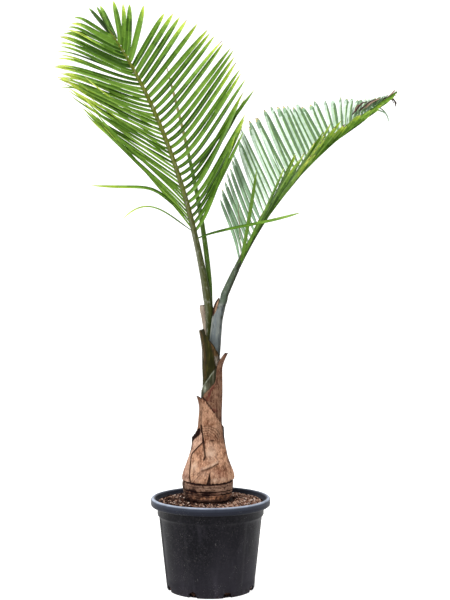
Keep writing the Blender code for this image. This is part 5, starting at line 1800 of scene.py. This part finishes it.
# Rachis: a tube along the axis, flattened a little and keeled above
def buildRachis(name, control, facing, leafyFrom, finish, node, shade):
    knots = limbKnots((), control, leafyFrom, 1.0, stalks["rachis"], 150)

    def section(angle, share):
        ridge = np.exp(-((angle - math.pi / 2) / 0.5) ** 2)
        return 0.97 + 0.1 * ridge * smoothStep(share, 0.0, 0.2) + 0.03 * np.cos(2.0 * angle)

    buildTube(name, knots, facing, section, finish, [node], shade, 18)


# painted shade down its right side and painted light on its upper left, both fading along it
def leftRachisShade(angle, share, points):
    return {"dark": 0.6 * sideBand(angle, 10.0, 60.0) * (1.0 - 0.8 * share),
            "pale": 0.2 * sideBand(angle, 150.0, 40.0) * (1.0 - share) ** 2}


# painted shade on its under side, fading along it
def rightRachisShade(angle, share, points):
    return {"dark": 0.85 * sideBand(angle, -40.0, 90.0) * (1.0 - 0.6 * share)}


def buildStrays():
    rng = np.random.default_rng(strays["seed"])
    paths = strayPaths()
    upper = np.broadcast_to(strays["facing"], (len(paths), 3))
    points = bladePoints(paths, upper, np.array(strays["width"]), np.zeros(len(paths)), "parallel")
    dealt = [dealTints({"look": look}, np.zeros(1), points.shape[2], rng) for look in strays["looks"]]
    return paths, (points, np.concatenate(dealt))


# Scraps: each a narrow blade of one tint along a smooth line
def scrapBlades(scraps):
    paths = []
    for tint, width, line in scraps:
        knots = np.concatenate((np.asarray(line, float), np.zeros((len(line), 1))), axis=1)
        smooth = smoothLine(knots, 2000)[0][:, :3]
        at = np.linspace(0.0, len(smooth) - 1, leaflets["pathSteps"] + 1)
        paths.append(np.stack([np.interp(at, np.arange(len(smooth)), smooth[:, k]) for k in range(3)], axis=-1))
    upper = np.broadcast_to((0.0, -0.95, 0.3), (len(paths), 3))
    widths = np.array([width for tint, width, line in scraps])
    points = bladePoints(np.array(paths), upper, widths, np.full(len(paths), 25.0), "parallel")
    dealt = np.array([tintNames.index(tint) for tint, width, line in scraps])[:, None, None]
    return points, np.broadcast_to(dealt, (len(paths), points.shape[1] - 1, points.shape[2]))


def buildFronds():
    s = stalks
    strayLines, strayBlades = buildStrays()
    buildRachis("leftRachis", s["leftAxis"], s["leftFace"], s["leftLeafyFrom"], leftWax,
                "frond_left", leftRachisShade)
    buildRachis("rightRachis", s["rightAxis"], s["rightFace"], s["rightLeafyFrom"], rightWax,
                "frond_right", rightRachisShade)
    buildFrond("leftLeaflets", s["leftAxis"], s["leftFace"], leftRows, "frond_left",
               leaflets["leftSeed"], strayBlades)
    buildFrond("rightLeaflets", s["rightAxis"], s["rightFace"], rightRows, "frond_right",
               leaflets["rightSeed"], scrapBlades(rightScraps), strayLines[0])


buildFronds()
print("stage: studio")


# Pale floor that curves up into a wall all round: a turned profile of a flat disc, a quarter circle and an
# upright
def buildStudio():
    s = studio
    far, bend = s["floorRadius"], s["cornerRadius"]
    corner = [(far - bend * (1.0 - math.sin(a)), bend * (1.0 - math.cos(a)))
              for a in np.linspace(0.0, math.pi / 2, s["bends"])]
    profile = np.array([(0.01, 0.0), (1.0, 0.0), *corner, (far, s["wallHeight"])])
    turn = evenTurns(s["steps"])
    points = ringPoints(profile[:, :1], profile[:, 1:], turn)
    mesh = bpy.data.meshes.new("studioFloor")
    faces = gridFaces(len(profile), len(turn), closeColumns=True) + [list(range(len(turn)))]
    mesh.from_pydata(points.reshape(-1, 3).tolist(), [], faces)
    mesh.shade_smooth()
    paper = Finish("studioPaper", s["floorColour"], 0.9, Emission_Strength=s["floorGlow"])
    paper.feed("Roughness", paper.noise(3.0) * 0.1 + 0.85)
    # lit from within behind the plant: dark in front of the plant, white from beside it to the far wall
    paper.feed("Emission Color", paper.mix(paper.axis("Y").step(*s["glowFromY"]), *s["glowColours"]))
    mesh.materials.append(paper.material)
    floor = bpy.data.objects.new("studioFloor", mesh)
    bpy.context.scene.collection.objects.link(floor)
    world = bpy.data.worlds.new("softSky")
    world.use_nodes = True
    world.node_tree.nodes["Background"].inputs["Color"].default_value = (*s["skyColour"], 1.0)
    world.node_tree.nodes["Background"].inputs["Strength"].default_value = s["skyStrength"]
    bpy.context.scene.world = world
    aim = np.array(s["lampsAimAt"])
    for name, place, size, watts in s["lamps"]:
        lamp = bpy.data.lights.new(name, "AREA")
        lamp.shape = "DISK"
        lamp.size = size
        lamp.energy = watts
        holder = bpy.data.objects.new(name, lamp)
        x, y, z = aim - np.array(place)
        holder.location = place
        holder.rotation_euler = (math.atan2(math.hypot(x, y), -z), 0.0, math.atan2(-x, y))
        bpy.context.scene.collection.objects.link(holder)
    camera = bpy.data.cameras.new("photoCamera")
    camera.lens = s["lens"]
    camera.sensor_width = s["sensor"]
    camera.clip_end = 60.0
    holder = bpy.data.objects.new("photoCamera", camera)
    holder.location = s["cameraPlace"]
    holder.rotation_euler = (math.pi / 2, 0.0, 0.0)
    bpy.context.scene.collection.objects.link(holder)
    bpy.context.scene.camera = holder
    bpy.context.scene.view_settings.view_transform = "Standard"


buildStudio()
